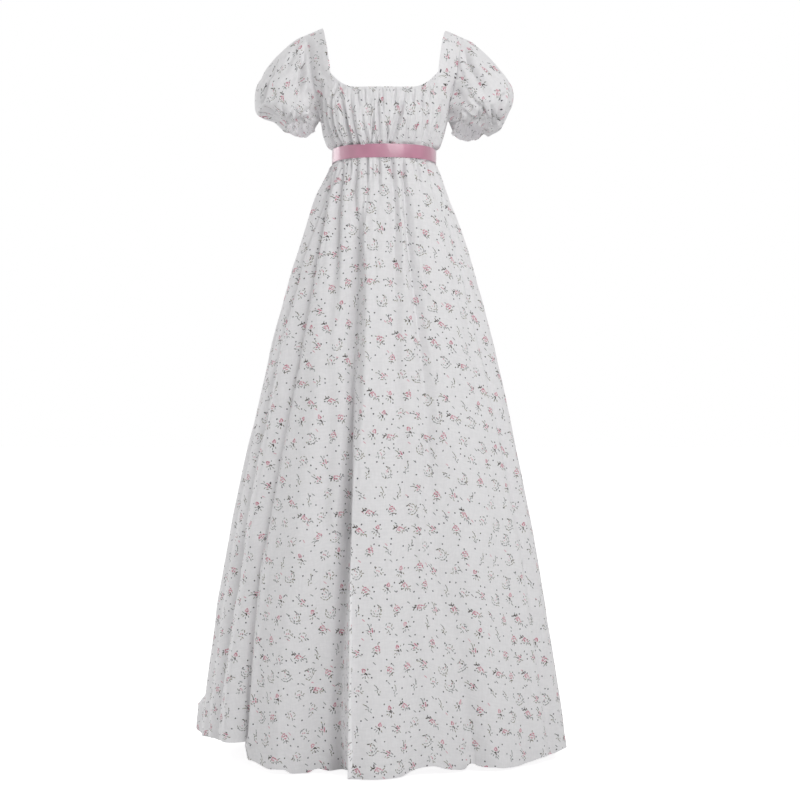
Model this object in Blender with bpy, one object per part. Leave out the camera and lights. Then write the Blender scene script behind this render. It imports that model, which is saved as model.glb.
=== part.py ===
"""Regency gown, worn and hollow: a gathered bodice with puff sleeves, a satin ribbon at the
raised waist and a full skirt to the floor. Metres, +Z up, the front faces -Y. The origin lies
midway between the two shoulder tops."""

import math
from collections import namedtuple

import bmesh
import bpy
from mathutils import Vector

# Cloth
WALL = 0.0018
RIBBON_WALL = 0.0012
SEAM_GAP = 0.0003

# Levels
WAIST_Z = -0.261
HEM_Z = -1.500
RIBBON_HEIGHT = 0.0275
UNDERARM_Z = -0.192
# The cloth stays flat under the ribbon this far from the waist seam
HELD_BY_RIBBON = RIBBON_HEIGHT / 2 + 0.0004

# Columns and rows of each piece's wall
SKIRT_FRONT_COLUMNS = 84
SKIRT_BACK_COLUMNS = 56
SKIRT_ROWS = 12
BODICE_ROWS = 7
STRAP_ROWS = 6
SIDE_COLUMNS = 5
STRAP_COLUMNS = 4
FRONT_NECK_COLUMNS = 72
BACK_NECK_COLUMNS = 32
SLEEVE_ROWS = 10
RIBBON_COLUMNS = 64

# A ring is the gown's level section: where its middle lies, half its width, and its depth before
# and behind the side seams. Power 2 is an ellipse, and a higher power is squarer.
Ring = namedtuple("Ring", "z middle half_width front back power")
SKIRT_RINGS = (
    Ring(-0.2610, 0.000, 0.1061, 0.106, 0.096, 2.2),
    Ring(-0.2754, 0.000, 0.1061, 0.106, 0.096, 2.2),
    Ring(-0.2800, -0.001, 0.1110, 0.110, 0.099, 2.2),
    Ring(-0.2900, -0.001, 0.1152, 0.113, 0.103, 2.2),
    Ring(-0.3310, -0.003, 0.1325, 0.125, 0.119, 2.1),
    Ring(-0.4140, -0.003, 0.1615, 0.141, 0.144, 2.0),
    Ring(-0.5380, -0.004, 0.1985, 0.162, 0.176, 2.0),
    Ring(-0.6620, -0.004, 0.2305, 0.181, 0.205, 2.0),
    Ring(-0.7870, -0.005, 0.2585, 0.197, 0.232, 2.0),
    Ring(-0.9110, -0.006, 0.2855, 0.211, 0.257, 2.0),
    Ring(-1.0350, -0.007, 0.3100, 0.224, 0.281, 2.0),
    Ring(-1.1590, -0.008, 0.3315, 0.234, 0.303, 2.0),
    Ring(-1.2830, -0.008, 0.3510, 0.242, 0.323, 2.0),
    Ring(-1.3900, -0.007, 0.3660, 0.249, 0.339, 2.0),
    Ring(-1.5000, -0.004, 0.3770, 0.254, 0.353, 2.0),
)
BODICE_RINGS = (
    Ring(-0.2610, 0.000, 0.1061, 0.106, 0.096, 2.2),
    Ring(-0.2466, 0.000, 0.1061, 0.106, 0.096, 2.2),
    Ring(-0.2420, 0.000, 0.1132, 0.111, 0.100, 2.3),
    Ring(-0.2340, -0.001, 0.1182, 0.115, 0.102, 2.4),
    Ring(-0.2240, -0.001, 0.1222, 0.119, 0.103, 2.5),
    Ring(-0.2110, -0.001, 0.1262, 0.122, 0.104, 2.6),
    Ring(-0.1900, 0.000, 0.1310, 0.124, 0.104, 2.8),
    Ring(-0.1650, 0.000, 0.1370, 0.123, 0.103, 2.9),
    Ring(-0.1310, 0.000, 0.1460, 0.117, 0.100, 3.0),
    Ring(-0.0950, 0.000, 0.1560, 0.107, 0.095, 3.0),
)

# The hem isn't quite level: how far it is lifted at angles round the skirt
HEM_LIFT_ANGLES = (0, 30, 60, 90, 120, 144, 158, 180, 205, 240, 270, 330, 360)
HEM_LIFT = (0.016, 0.010, 0.005, 0.0, 0.0, 0.004, 0.020, 0.026, 0.022, 0.006, 0.0, 0.006, 0.016)

# A fold runs from the waist to the hem. Its place is the angle round the skirt, in degrees, from
# 0 at the right seam through 90 at centre front and 180 at the left seam to 270 at centre back.
# Its depth is how far it stands out, or in where it is negative, at four levels. Its two widths
# are the softness of its side towards 0 and of its side towards 360, in degrees.
Fold = namedtuple("Fold", "waist thigh knee hem d_waist d_thigh d_knee d_hem near far")
SKIRT_FOLDS = (
    Fold(150, 148, 146, 144, 0.000, 0.004, 0.012, 0.024, 7.0, 4.0),
    Fold(152, 155, 157, 158, -0.004, -0.012, -0.026, -0.052, 5.0, 11.0),
    Fold(134, 124, 113, 110, -0.005, -0.010, -0.008, 0.000, 4.0, 4.5),
    Fold(121, 108, 105, 106, -0.004, -0.016, -0.036, -0.080, 2.8, 7.5),
    Fold(112, 101, 100, 99, 0.001, 0.006, 0.026, 0.084, 13.0, 2.8),
    Fold(128, 116, 120, 121, 0.000, 0.003, 0.012, 0.034, 6.0, 7.0),
    Fold(81, 81, 82, 82, -0.004, -0.006, -0.003, 0.000, 4.0, 4.0),
    Fold(69, 67, 68, 62, -0.004, -0.010, -0.013, -0.032, 5.0, 6.0),
    Fold(58, 54, 55, 53, -0.003, -0.003, 0.000, 0.008, 5.0, 5.0),
    Fold(33, 37, 38, 38, -0.004, -0.005, -0.004, -0.012, 6.0, 5.0),
    Fold(10, 12, 12, 12, 0.000, 0.003, 0.006, 0.010, 9.0, 8.0),
    Fold(205, 203, 202, 202, 0.000, 0.003, 0.008, 0.018, 9.0, 9.0),
    Fold(226, 225, 224, 222, -0.003, -0.010, -0.018, -0.030, 6.0, 8.0),
    Fold(250, 248, 246, 246, 0.000, 0.004, 0.010, 0.020, 8.0, 7.0),
    Fold(266, 267, 268, 268, -0.003, -0.009, -0.016, -0.030, 7.0, 6.0),
    Fold(288, 290, 292, 292, 0.000, 0.004, 0.010, 0.020, 7.0, 8.0),
    Fold(308, 312, 314, 316, -0.003, -0.010, -0.018, -0.032, 7.0, 6.0),
    Fold(338, 338, 339, 340, -0.002, -0.005, -0.008, -0.016, 6.0, 7.0),
)
FOLD_LEVELS = (0.0, 0.16, 0.50, 1.0)

# Gathers: small valleys between the folds, deepest just below or above the ribbon
SKIRT_GATHERS = 42
SKIRT_GATHER_DEPTH = 0.0056
SKIRT_GATHER_FADE = 0.24
FRONT_GATHERS = 18
FRONT_GATHER_DEPTH = 0.0044
BACK_GATHERS = 10
BACK_GATHER_DEPTH = 0.0030
GATHER_RISE = 0.022
GATHER_AT_RIBBON = 0.22

# Neckline and straps: half widths from the middle, at each level
NECK_HALF_WIDTH = 0.129
STRAP_WIDTH = 0.036
SHOULDER_SLOPE = 0.015
RIGHT_SHOULDER_Z = -0.0025
LEFT_SHOULDER_Z = 0.0025
NECK_BASE_HALF_WIDTH = 0.111
Neckline = namedtuple("Neckline", "bottom corner_z corner_width strap_base")
FRONT_NECK = Neckline(-0.133, -0.098, 0.054, -0.112)
BACK_NECK = Neckline(-0.124, -0.098, 0.054, -0.112)
# Angles at the waist where the side, the strap and the neckline columns part
WAIST_SIDE_ANGLE = 17
WAIST_STRAP_ANGLE = 36
ARMHOLE_FRONT = 0.056
ARMHOLE_BACK = 0.054

# Sleeves: the elastic hem's ring, and how far the cloth puffs out between armhole and hem
Sleeve = namedtuple("Sleeve", "side hem_inner hem_outer inner_z outer_z hem_depth tilt reach slope")
LEFT_SLEEVE = Sleeve(-1, 0.146, 0.204, -0.212, -0.213, 0.047, 0.010, 1.04, 1.05)
RIGHT_SLEEVE = Sleeve(1, 0.143, 0.205, -0.214, -0.219, 0.047, 0.013, 1.06, 1.22)
# How the cloth leaves the armhole and arrives at the hem: a part all round, and more at the
# shoulder side, which is taken away under the arm
LEAVE_OUT, LEAVE_OUT_MORE = 0.039, 0.033
LEAVE_FORWARD = 0.050
LEAVE_DOWN, LEAVE_DOWN_MORE = 0.012, 0.011
ARRIVE_OUT = 0.0585
ARRIVE_FORWARD = 0.068
ARRIVE_UP, ARRIVE_UP_MORE = 0.014, 0.024
SLEEVE_CLEARANCE = 0.0005
SLEEVE_GATHERS = 11
SLEEVE_GATHER_DEPTH = 0.0075
SLEEVE_GATHER_ROOM = 0.014

WHITE_COTTON = (0.80, 0.80, 0.81, 1.0)
DUSTY_PINK = (0.50, 0.24, 0.32, 1.0)


def clear_scene():
    for thing in list(bpy.data.objects):
        bpy.data.objects.remove(thing, do_unlink=True)


def cloth_material(name, colour, roughness):
    made = bpy.data.materials.new(name)
    made.use_nodes = True
    shader = made.node_tree.nodes["Principled BSDF"]
    shader.inputs["Base Color"].default_value = colour
    shader.inputs["Roughness"].default_value = roughness
    shader.inputs["Metallic"].default_value = 0.0
    made.diffuse_color = colour
    return made


def smooth(share):
    share = min(max(share, 0.0), 1.0)
    return share * share * (3 - 2 * share)


def along(places, values, place):
    """The value at a place on a smooth curve through a short table; places rise."""
    if place <= places[0]:
        return values[0]
    if place >= places[-1]:
        return values[-1]
    i = next(k for k in range(len(places) - 1) if place <= places[k + 1])

    def slope(k):
        low, high = max(k - 1, 0), min(k + 1, len(places) - 1)
        return (values[high] - values[low]) / (places[high] - places[low])

    step = places[i + 1] - places[i]
    u = (place - places[i]) / step
    start = (1 + 2 * u) * (1 - u) ** 2 * values[i] + u * (1 - u) ** 2 * step * slope(i)
    end = u * u * (3 - 2 * u) * values[i + 1] + u * u * (u - 1) * step * slope(i + 1)
    return start + end


def ring_at(rings, z):
    """The section at any level between a table's rings."""
    low_first = sorted(rings)
    levels = [ring.z for ring in low_first]
    columns = list(zip(*low_first))[1:]
    return Ring(z, *(along(levels, column, z) for column in columns))


def on_ring(ring, degrees, out=0.0):
    """A point of a section, moved out along the section's own normal."""
    turn = math.radians(degrees)
    c, s = math.cos(turn), math.sin(turn)
    depth = ring.front if s >= 0 else ring.back
    x = math.copysign(abs(c) ** (2 / ring.power), c)
    y = -math.copysign(abs(s) ** (2 / ring.power), s)
    normal = Vector((
        math.copysign(abs(x) ** (ring.power - 1), x) / ring.half_width,
        math.copysign(abs(y) ** (ring.power - 1), y) / depth,
        0,
    )).normalized()
    return Vector((ring.middle + x * ring.half_width, y * depth, ring.z)) + out * normal


def angle_of(half_width, power, x):
    """The angle at which a section is x from the middle, for the front half."""
    share = min(abs(x) / half_width, 1.0)
    turn = math.degrees(math.acos(share ** (power / 2)))
    return turn if x >= 0 else 180 - turn


def bell(distance, near, far):
    width = near if distance < 0 else far
    return math.exp(-((distance / width) ** 2))


def folds_out(degrees, drop):
    """How far the skirt's folds stand out at an angle, at a share of the way to the hem."""
    total = 0.0
    for fold in SKIRT_FOLDS:
        middle = along(FOLD_LEVELS, fold[:4], drop)
        depth = along(FOLD_LEVELS, fold[4:8], drop)
        distance = (degrees - middle + 180) % 360 - 180
        total += depth * bell(distance, fold.near, fold.far)
    return total


def gather(turns, phase):
    """A row of valleys of uneven depth: 0 on a crest and -1 in the deepest valley."""
    uneven = 0.72 + 0.28 * math.sin(5.3 * turns + phase)
    return -0.5 * uneven * (1 - math.cos(2 * math.pi * turns))


def rise_from_ribbon(distance):
    """The gathers' share of their depth at a distance from the waist seam."""
    freed = smooth((distance - HELD_BY_RIBBON) / GATHER_RISE)
    return GATHER_AT_RIBBON + (1 - GATHER_AT_RIBBON) * freed


def skirt_point(degrees, drop):
    top = WAIST_Z - SEAM_GAP / 2
    hem = HEM_Z + along(HEM_LIFT_ANGLES, HEM_LIFT, degrees)
    z = top + drop * (hem - top)
    fade = math.exp(-((drop / SKIRT_GATHER_FADE) ** 1.4))
    depth = SKIRT_GATHER_DEPTH * rise_from_ribbon(WAIST_Z - z) * fade
    out = depth * gather(SKIRT_GATHERS * degrees / 360, 1.1)
    out += folds_out(degrees, drop) * smooth((WAIST_Z - z - RIBBON_HEIGHT / 2) / 0.06)
    return on_ring(ring_at(SKIRT_RINGS, z), degrees, out)


def cloth_shell(name, points, faces, flat, wall, material):
    """One closed wall of cloth. The points are its outer face and the faces name four points
    each, anticlockwise from outside. The inner face lies one wall in, along the normals, and
    flat names the axis that a seam's points keep to, so that the rims of two pieces meet."""
    normals = {key: Vector() for key in points}
    for face in faces:
        a, b, c, d = (points[key] for key in face)
        area = (c - a).cross(d - b)
        for key in face:
            normals[key] += area
    mesh = bmesh.new()
    outer = {}
    inner = {}
    for key, point in points.items():
        normal = normals[key]
        for axis in flat.get(key, ()):
            normal["xyz".index(axis)] = 0
        outer[key] = mesh.verts.new(point)
        inner[key] = mesh.verts.new(point - wall * normal.normalized())
    used = {}
    for face in faces:
        mesh.faces.new([outer[key] for key in face])
        mesh.faces.new([inner[key] for key in reversed(face)])
        for start, end in zip(face, face[1:] + face[:1]):
            used[(start, end)] = True
    for start, end in used:
        if (end, start) not in used:
            mesh.faces.new([outer[end], outer[start], inner[start], inner[end]])
    data = bpy.data.meshes.new(name)
    mesh.to_mesh(data)
    mesh.free()
    data.shade_smooth()
    data.set_sharp_from_angle(angle=math.radians(60))
    data.materials.append(material)
    made = bpy.data.objects.new(name, data)
    bpy.context.scene.collection.objects.link(made)
    return made


def grid_faces(rows, columns, first_row=0, first_column=0):
    """The faces between rows going down and columns going from the right seam to the left."""
    return [
        ((r, c), (r, c + 1), (r + 1, c + 1), (r + 1, c))
        for r in range(first_row, first_row + rows)
        for c in range(first_column, first_column + columns)
    ]


def skirt_row_drop(row):
    """Rows start at the seam, then at the ribbon's edge and just past it, and spread downwards."""
    edge = HELD_BY_RIBBON / (WAIST_Z - HEM_Z)
    if row < 3:
        return (0, edge, edge + 0.0036)[row]
    past = (row - 2) / (SKIRT_ROWS - 2)
    return edge + 0.0036 + (1 - edge - 0.0036) * past ** 1.35


def skirt_panel(name, first, last, columns, material):
    points = {}
    flat = {}
    for row in range(SKIRT_ROWS + 1):
        drop = skirt_row_drop(row)
        for column in range(columns + 1):
            degrees = first + (last - first) * column / columns
            points[row, column] = skirt_point(degrees, drop)
            flat[row, column] = "z" if row == 0 else ""
            if column in (0, columns):
                points[row, column].y = math.copysign(SEAM_GAP / 2, first - 90)
                flat[row, column] += "y"
    cloth_shell(name, points, grid_faces(SKIRT_ROWS, columns), flat, WALL, material)


def strap_edge(share, rise):
    """Half width of the strap at a share of the way across it and up it."""
    inner = NECK_BASE_HALF_WIDTH + (NECK_HALF_WIDTH - NECK_BASE_HALF_WIDTH) * rise
    return inner + share * STRAP_WIDTH


def top_of_column(neck, armhole, column, neck_columns):
    """Angle at the waist, level at the top and half width or seam depth at the top, for a column
    counted from the right side seam to the middle. Half width and seam depth may be None."""
    if column <= SIDE_COLUMNS:
        turn = math.pi / 2 * (1 - column / SIDE_COLUMNS)
        level = neck.strap_base + (UNDERARM_Z - neck.strap_base) * math.sin(turn)
        return WAIST_SIDE_ANGLE * column / SIDE_COLUMNS, level, None, armhole * math.cos(turn)
    if column <= SIDE_COLUMNS + STRAP_COLUMNS:
        share = (column - SIDE_COLUMNS) / STRAP_COLUMNS
        angle = WAIST_SIDE_ANGLE + share * (WAIST_STRAP_ANGLE - WAIST_SIDE_ANGLE)
        level = neck.strap_base + share * (neck.corner_z - neck.strap_base)
        return angle, level, strap_edge(1 - share, 0), None
    share = (column - SIDE_COLUMNS - STRAP_COLUMNS) / (neck_columns / 2)
    angle = WAIST_STRAP_ANGLE + share * (90 - WAIST_STRAP_ANGLE)
    half_width = NECK_BASE_HALF_WIDTH * (1 - share)
    rounded = max(half_width - neck.corner_width, 0) / (NECK_BASE_HALF_WIDTH - neck.corner_width)
    level = neck.bottom + (neck.corner_z - neck.bottom) * rounded ** 2.2
    return angle, level, half_width, None


def bodice_row_climb(row, height):
    """Rows end at the waist seam, after one at the ribbon's edge and one just above it."""
    if row >= BODICE_ROWS - 1:
        return HELD_BY_RIBBON / height * (BODICE_ROWS - row)
    past = (HELD_BY_RIBBON + 0.0046) / height
    return past + (1 - past) * (1 - row / (BODICE_ROWS - 2))


def bodice_points(front, neck_columns, gathers, gather_depth):
    """The outer points of half a bodice, the front or the back, and which axes its seams keep."""
    neck = FRONT_NECK if front else BACK_NECK
    armhole = ARMHOLE_FRONT if front else ARMHOLE_BACK
    columns = 2 * (SIDE_COLUMNS + STRAP_COLUMNS) + neck_columns
    seam_y = math.copysign(SEAM_GAP / 2, -1 if front else 1)
    points = {}
    flat = {}
    for column in range(columns + 1):
        counted = min(column, columns - column)
        angle, level, half_width, seam_depth = top_of_column(neck, armhole, counted, neck_columns)
        top = ring_at(BODICE_RINGS, level)
        depth = top.front if front else top.back
        if half_width is None:
            top_angle = math.degrees(math.asin((seam_depth / depth) ** (top.power / 2)))
        else:
            top_angle = angle_of(top.half_width, top.power, half_width)
        across = (column - SIDE_COLUMNS - STRAP_COLUMNS) / neck_columns
        bottom = WAIST_Z + SEAM_GAP / 2
        for row in range(BODICE_ROWS + 1):
            climb = bodice_row_climb(row, level - bottom)
            z = bottom + climb * (level - bottom)
            degrees = angle + climb * (top_angle - angle)
            if column > columns / 2:
                degrees = 180 - degrees
            if not front:
                degrees = -degrees
            edge = smooth(across * 9) * smooth((1 - across) * 9)
            out = gather_depth * edge * gather(gathers * across, 0.4)
            out *= rise_from_ribbon(z - WAIST_Z) * (1 - 0.45 * climb)
            point = on_ring(ring_at(BODICE_RINGS, z), degrees, out)
            flat[row, column] = "z" if row == BODICE_ROWS else ""
            if column in (0, columns):
                point.y = seam_y
                flat[row, column] += "y"
            points[row, column] = point
    for side in (1, -1):
        for step in range(STRAP_COLUMNS + 1):
            column = SIDE_COLUMNS + step
            column = column if side > 0 else columns - column
            base = points[0, column].copy()
            share = 1 - step / STRAP_COLUMNS
            shoulder_z = RIGHT_SHOULDER_Z if side > 0 else LEFT_SHOULDER_Z
            shoulder_z -= SHOULDER_SLOPE * share
            for row in range(1, STRAP_ROWS + 1):
                turn = math.pi / 2 * row / STRAP_ROWS
                point = Vector((
                    side * strap_edge(share, row / STRAP_ROWS),
                    base.y * math.cos(turn),
                    base.z + (shoulder_z - base.z) * math.sin(turn),
                ))
                if row == STRAP_ROWS:
                    point.y = seam_y
                    flat[-row, column] = "y"
                points[-row, column] = point
    return points, flat, columns


def bodice_panel(name, front, neck_columns, gathers, gather_depth, material):
    points, flat, columns = bodice_points(front, neck_columns, gathers, gather_depth)
    faces = grid_faces(BODICE_ROWS, columns)
    for first in (SIDE_COLUMNS, columns - SIDE_COLUMNS - STRAP_COLUMNS):
        faces += grid_faces(STRAP_ROWS, STRAP_COLUMNS, -STRAP_ROWS, first)
    if not front:
        faces = [tuple(reversed(face)) for face in faces]
    cloth_shell(name, points, faces, flat, WALL, material)
    return points, columns


def armhole_loop(side, front, back):
    """The armhole's edge from the shoulder down the front, under the arm and up the back."""
    halves = []
    for points, columns in (front, back):
        places = [(-row, SIDE_COLUMNS) for row in range(STRAP_ROWS, 0, -1)]
        places += [(0, column) for column in range(SIDE_COLUMNS, -1, -1)]
        if side < 0:
            places = [(row, columns - column) for row, column in places]
        halves.append([points[place].copy() for place in places])
    down_front, down_back = halves
    return down_front + down_back[-2:0:-1]


def bezier(p0, p1, p2, p3, u):
    v = 1 - u
    return v**3 * p0 + 3 * v * v * u * p1 + 3 * v * u * u * p2 + u**3 * p3


def sleeve_rib(spec, start, turn):
    """The four control points of the line down the sleeve from a point of the armhole. The turn
    is 0 at the shoulder, a quarter at the front and a half under the arm."""
    c, s = math.cos(turn), math.sin(turn)
    across = (spec.hem_outer + spec.hem_inner + (spec.hem_outer - spec.hem_inner) * c) / 2
    level = (spec.outer_z + spec.inner_z + (spec.outer_z - spec.inner_z) * c) / 2
    end = Vector((spec.side * across, -spec.hem_depth * s, level + spec.tilt * s))
    leave = Vector((
        spec.side * spec.reach * (LEAVE_OUT + LEAVE_OUT_MORE * c),
        -LEAVE_FORWARD * s,
        -spec.slope * (LEAVE_DOWN + LEAVE_DOWN_MORE * c),
    ))
    arrive = Vector((
        spec.side * spec.reach * ARRIVE_OUT * (1 + c),
        -ARRIVE_FORWARD * s,
        ARRIVE_UP + ARRIVE_UP_MORE * c,
    ))
    return start, start + leave, end + arrive, end


def turns_round(corners, under):
    """Each armhole point's turn by its share of the way down the front or up the back."""
    lengths = [(b - a).length for a, b in zip(corners, corners[1:] + corners[:1])]
    down, up = sum(lengths[:under]), sum(lengths[under:])
    travelled = 0.0
    turns = []
    for length in lengths:
        if travelled <= down:
            turns.append(math.pi * travelled / down)
        else:
            turns.append(math.pi * (1 + (travelled - down) / up))
        travelled += length
    return turns


def sleeve(name, spec, front, back, material):
    """A puff sleeve: ribs from the armhole's edge to the elastic hem, with gathers between."""
    edge = armhole_loop(spec.side, front, back)
    corners = []
    for here, following in zip(edge, edge[1:] + edge[:1]):
        corners += [here, (here + following) / 2]
    count = len(corners)
    middle = sum(corners, Vector()) / count
    turns = turns_round(corners, 2 * (STRAP_ROWS + SIDE_COLUMNS))
    plain = {}
    for column, (corner, turn) in enumerate(zip(corners, turns)):
        away = Vector((spec.side, 0, 0)) + (corner - middle).normalized() / 4
        start = corner + SLEEVE_CLEARANCE * away.normalized()
        rib = sleeve_rib(spec, start, turn)
        for row in range(SLEEVE_ROWS + 1):
            plain[row, column] = bezier(*rib, row / SLEEVE_ROWS)
    gathered = dict(plain)
    for row in range(1, SLEEVE_ROWS):
        nearness = abs(2 * row / SLEEVE_ROWS - 1) ** 1.5
        depth = SLEEVE_GATHER_DEPTH * (0.45 + 0.55 * nearness)
        for column in range(count):
            across = plain[row, (column + 1) % count] - plain[row, (column - 1) % count]
            down = plain[row + 1, column] - plain[row - 1, column]
            normal = across.cross(down).normalized() * spec.side
            room = min(across.length / SLEEVE_GATHER_ROOM, 1.0)
            wave = gather(SLEEVE_GATHERS * column / count, 2.0)
            gathered[row, column] = plain[row, column] + depth * room * wave * normal
    faces = [
        ((r, c), (r, (c + 1) % count), (r + 1, (c + 1) % count), (r + 1, c))
        for r in range(SLEEVE_ROWS)
        for c in range(count)
    ]
    if spec.side < 0:
        faces = [tuple(reversed(face)) for face in faces]
    cloth_shell(name, gathered, faces, {}, WALL, material)


def ribbon(material):
    """The satin ribbon: one band round the waist seam, just clear of the cloth."""
    top = WAIST_Z + RIBBON_HEIGHT / 2
    clear = SEAM_GAP + RIBBON_WALL
    points = {}
    flat = {}
    for row in range(3):
        for column in range(RIBBON_COLUMNS):
            ring = BODICE_RINGS[0]._replace(z=top - RIBBON_HEIGHT * row / 2)
            out = clear + 0.0002 * (row == 1)
            points[row, column] = on_ring(ring, 360 * column / RIBBON_COLUMNS, out)
            flat[row, column] = "z"
    faces = [
        ((r, c), (r, (c + 1) % RIBBON_COLUMNS), (r + 1, (c + 1) % RIBBON_COLUMNS), (r + 1, c))
        for r in range(2)
        for c in range(RIBBON_COLUMNS)
    ]
    cloth_shell("ribbon_sash", points, faces, flat, RIBBON_WALL, material)


def build():
    clear_scene()
    cotton = cloth_material("white_cotton", WHITE_COTTON, 0.85)
    satin = cloth_material("pink_satin", DUSTY_PINK, 0.38)
    skirt_panel("skirt_front", 0, 180, SKIRT_FRONT_COLUMNS, cotton)
    skirt_panel("skirt_back", 180, 360, SKIRT_BACK_COLUMNS, cotton)
    front = bodice_panel(
        "bodice_front", True, FRONT_NECK_COLUMNS, FRONT_GATHERS, FRONT_GATHER_DEPTH, cotton
    )
    back = bodice_panel(
        "bodice_back", False, BACK_NECK_COLUMNS, BACK_GATHERS, BACK_GATHER_DEPTH, cotton
    )
    sleeve("sleeve_left", LEFT_SLEEVE, front, back, cotton)
    sleeve("sleeve_right", RIGHT_SLEEVE, front, back, cotton)
    ribbon(satin)


build()
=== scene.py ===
"""The looks of the regency gown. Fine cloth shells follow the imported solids' forms, with their
gathers, creases, sewing and a small printed flower repeat, and a satin ribbon lies round the
raised waist. Metres, in the part's own frame: +Z up, the front faces -Y, and the origin lies
midway between the two shoulder tops."""

import math
from collections import namedtuple

import bpy
import numpy as np
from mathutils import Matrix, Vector

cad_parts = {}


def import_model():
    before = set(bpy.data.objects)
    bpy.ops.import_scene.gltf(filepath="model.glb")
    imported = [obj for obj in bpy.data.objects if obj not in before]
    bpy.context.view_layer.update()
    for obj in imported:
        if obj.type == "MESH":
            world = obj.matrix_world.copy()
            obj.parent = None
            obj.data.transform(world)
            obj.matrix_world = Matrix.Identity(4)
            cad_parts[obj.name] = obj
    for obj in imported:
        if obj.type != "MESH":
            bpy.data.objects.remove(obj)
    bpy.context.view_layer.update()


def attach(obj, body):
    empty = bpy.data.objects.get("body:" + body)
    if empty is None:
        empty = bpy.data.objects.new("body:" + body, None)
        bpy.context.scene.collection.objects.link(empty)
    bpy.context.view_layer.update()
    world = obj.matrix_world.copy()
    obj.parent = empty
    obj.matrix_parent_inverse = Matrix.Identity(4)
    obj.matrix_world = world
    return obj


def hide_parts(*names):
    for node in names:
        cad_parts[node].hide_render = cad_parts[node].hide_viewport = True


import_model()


def table(kind, rows):
    """A table's rows, each with the names of its columns."""
    return tuple(kind(*row) for row in rows)


# ---------------------------------------------------------------- the part's own sizes
# How thick the shells' cloth and ribbon are, and the solid ribbon
WALL = 0.0009
RIBBON_WALL = 0.0006
SOLID_RIBBON_WALL = 0.0012
RIBBON_CLEARANCE = 0.0003
RIBBON_CROWN, RIBBON_EASE, RIBBON_WRINKLE = 0.0005, 0.0006, 0.0002
SEAM_GAP = 0.0001
WAIST_Z = -0.261
HEM_Z = -1.500
RIBBON_HEIGHT = 0.0275
UNDERARM_Z = -0.192
HELD_BY_RIBBON = RIBBON_HEIGHT / 2 + 0.0004
WAIST_SAG = 0.004
WAIST_SAG_HEIGHT = 0.05
SKIRT_TOP = WAIST_Z - SEAM_GAP / 2
BODICE_FOOT = WAIST_Z + SEAM_GAP / 2

# A ring is the gown's level section: where its middle lies, half its width, and its depth before
# and behind the side seams. Power 2 is an ellipse, and a higher power is squarer.
Ring = namedtuple("Ring", "z middle half_width front back power")
SKIRT_RINGS = table(Ring, (
    (-0.2610, 0.000, 0.1061, 0.106, 0.096, 2.2),
    (-0.2754, 0.000, 0.1061, 0.106, 0.096, 2.2),
    (-0.2800, -0.001, 0.1110, 0.110, 0.099, 2.2),
    (-0.2900, -0.001, 0.1152, 0.113, 0.103, 2.2),
    (-0.3310, -0.003, 0.1325, 0.125, 0.119, 2.1),
    (-0.4140, -0.003, 0.1615, 0.141, 0.144, 2.0),
    (-0.5380, -0.004, 0.1985, 0.162, 0.176, 2.0),
    (-0.6620, -0.004, 0.2305, 0.181, 0.205, 2.0),
    (-0.7870, -0.005, 0.2585, 0.197, 0.232, 2.0),
    (-0.9110, -0.006, 0.2855, 0.211, 0.257, 2.0),
    (-1.0350, -0.007, 0.3100, 0.224, 0.281, 2.0),
    (-1.1590, -0.008, 0.3315, 0.234, 0.303, 2.0),
    (-1.2830, -0.008, 0.3510, 0.242, 0.323, 2.0),
    (-1.3900, -0.007, 0.3660, 0.249, 0.339, 2.0),
    (-1.5000, -0.004, 0.3770, 0.254, 0.353, 2.0),
))
BODICE_RINGS = table(Ring, (
    (-0.2610, 0.000, 0.1061, 0.106, 0.096, 2.2),
    (-0.2466, 0.000, 0.1061, 0.106, 0.096, 2.2),
    (-0.2420, 0.000, 0.1132, 0.111, 0.100, 2.3),
    (-0.2340, -0.001, 0.1182, 0.115, 0.102, 2.4),
    (-0.2240, -0.001, 0.1222, 0.119, 0.103, 2.5),
    (-0.2110, -0.001, 0.1262, 0.122, 0.104, 2.6),
    (-0.1900, 0.000, 0.1310, 0.124, 0.104, 2.8),
    (-0.1650, 0.000, 0.1370, 0.123, 0.103, 2.9),
    (-0.1310, 0.000, 0.1460, 0.117, 0.100, 3.0),
    (-0.0950, 0.000, 0.1560, 0.107, 0.095, 3.0),
))
# How far the hem stands up from its lowest level, in millimetres at angles round the skirt
HEM_LIFTS = (
    (0, 12), (6, 18), (9, 25), (12, 22), (18, 21), (21, 15), (26, 15), (31, 13), (36, 7), (41, 4),
    (50, 4), (54, 7), (57.5, 8), (59.5, 11), (62, 13), (63.4, 4), (67, 5), (70, 8), (73, 14),
    (75, 16), (78, 14), (81, 9), (83.5, 2), (85, 0), (98, 0), (100, 4), (102, 12), (103.5, 9),
    (105, 5), (107, 4), (109, 8), (111.6, 7), (112.8, 0), (115.5, 0), (117, 1), (118.5, 8),
    (121, 9), (124, 8), (127, 11), (130, 15), (132.5, 18), (134.5, 21), (136.2, 50), (138, 53),
    (141, 50), (148, 50), (152, 48), (157, 42), (163, 44), (168, 43), (174, 42), (180, 39),
    (186, 41), (192, 47), (198, 36), (206, 22), (222, 12), (240, 6), (270, 0), (300, 3),
    (330, 6), (345, 9), (360, 12),
)
# Where the hem curls out behind the left seam
Curl = namedtuple("Curl", "angle width out start height")
HEM_CURL = Curl(192, 5.0, 0.028, -1.372, 0.028)

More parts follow.
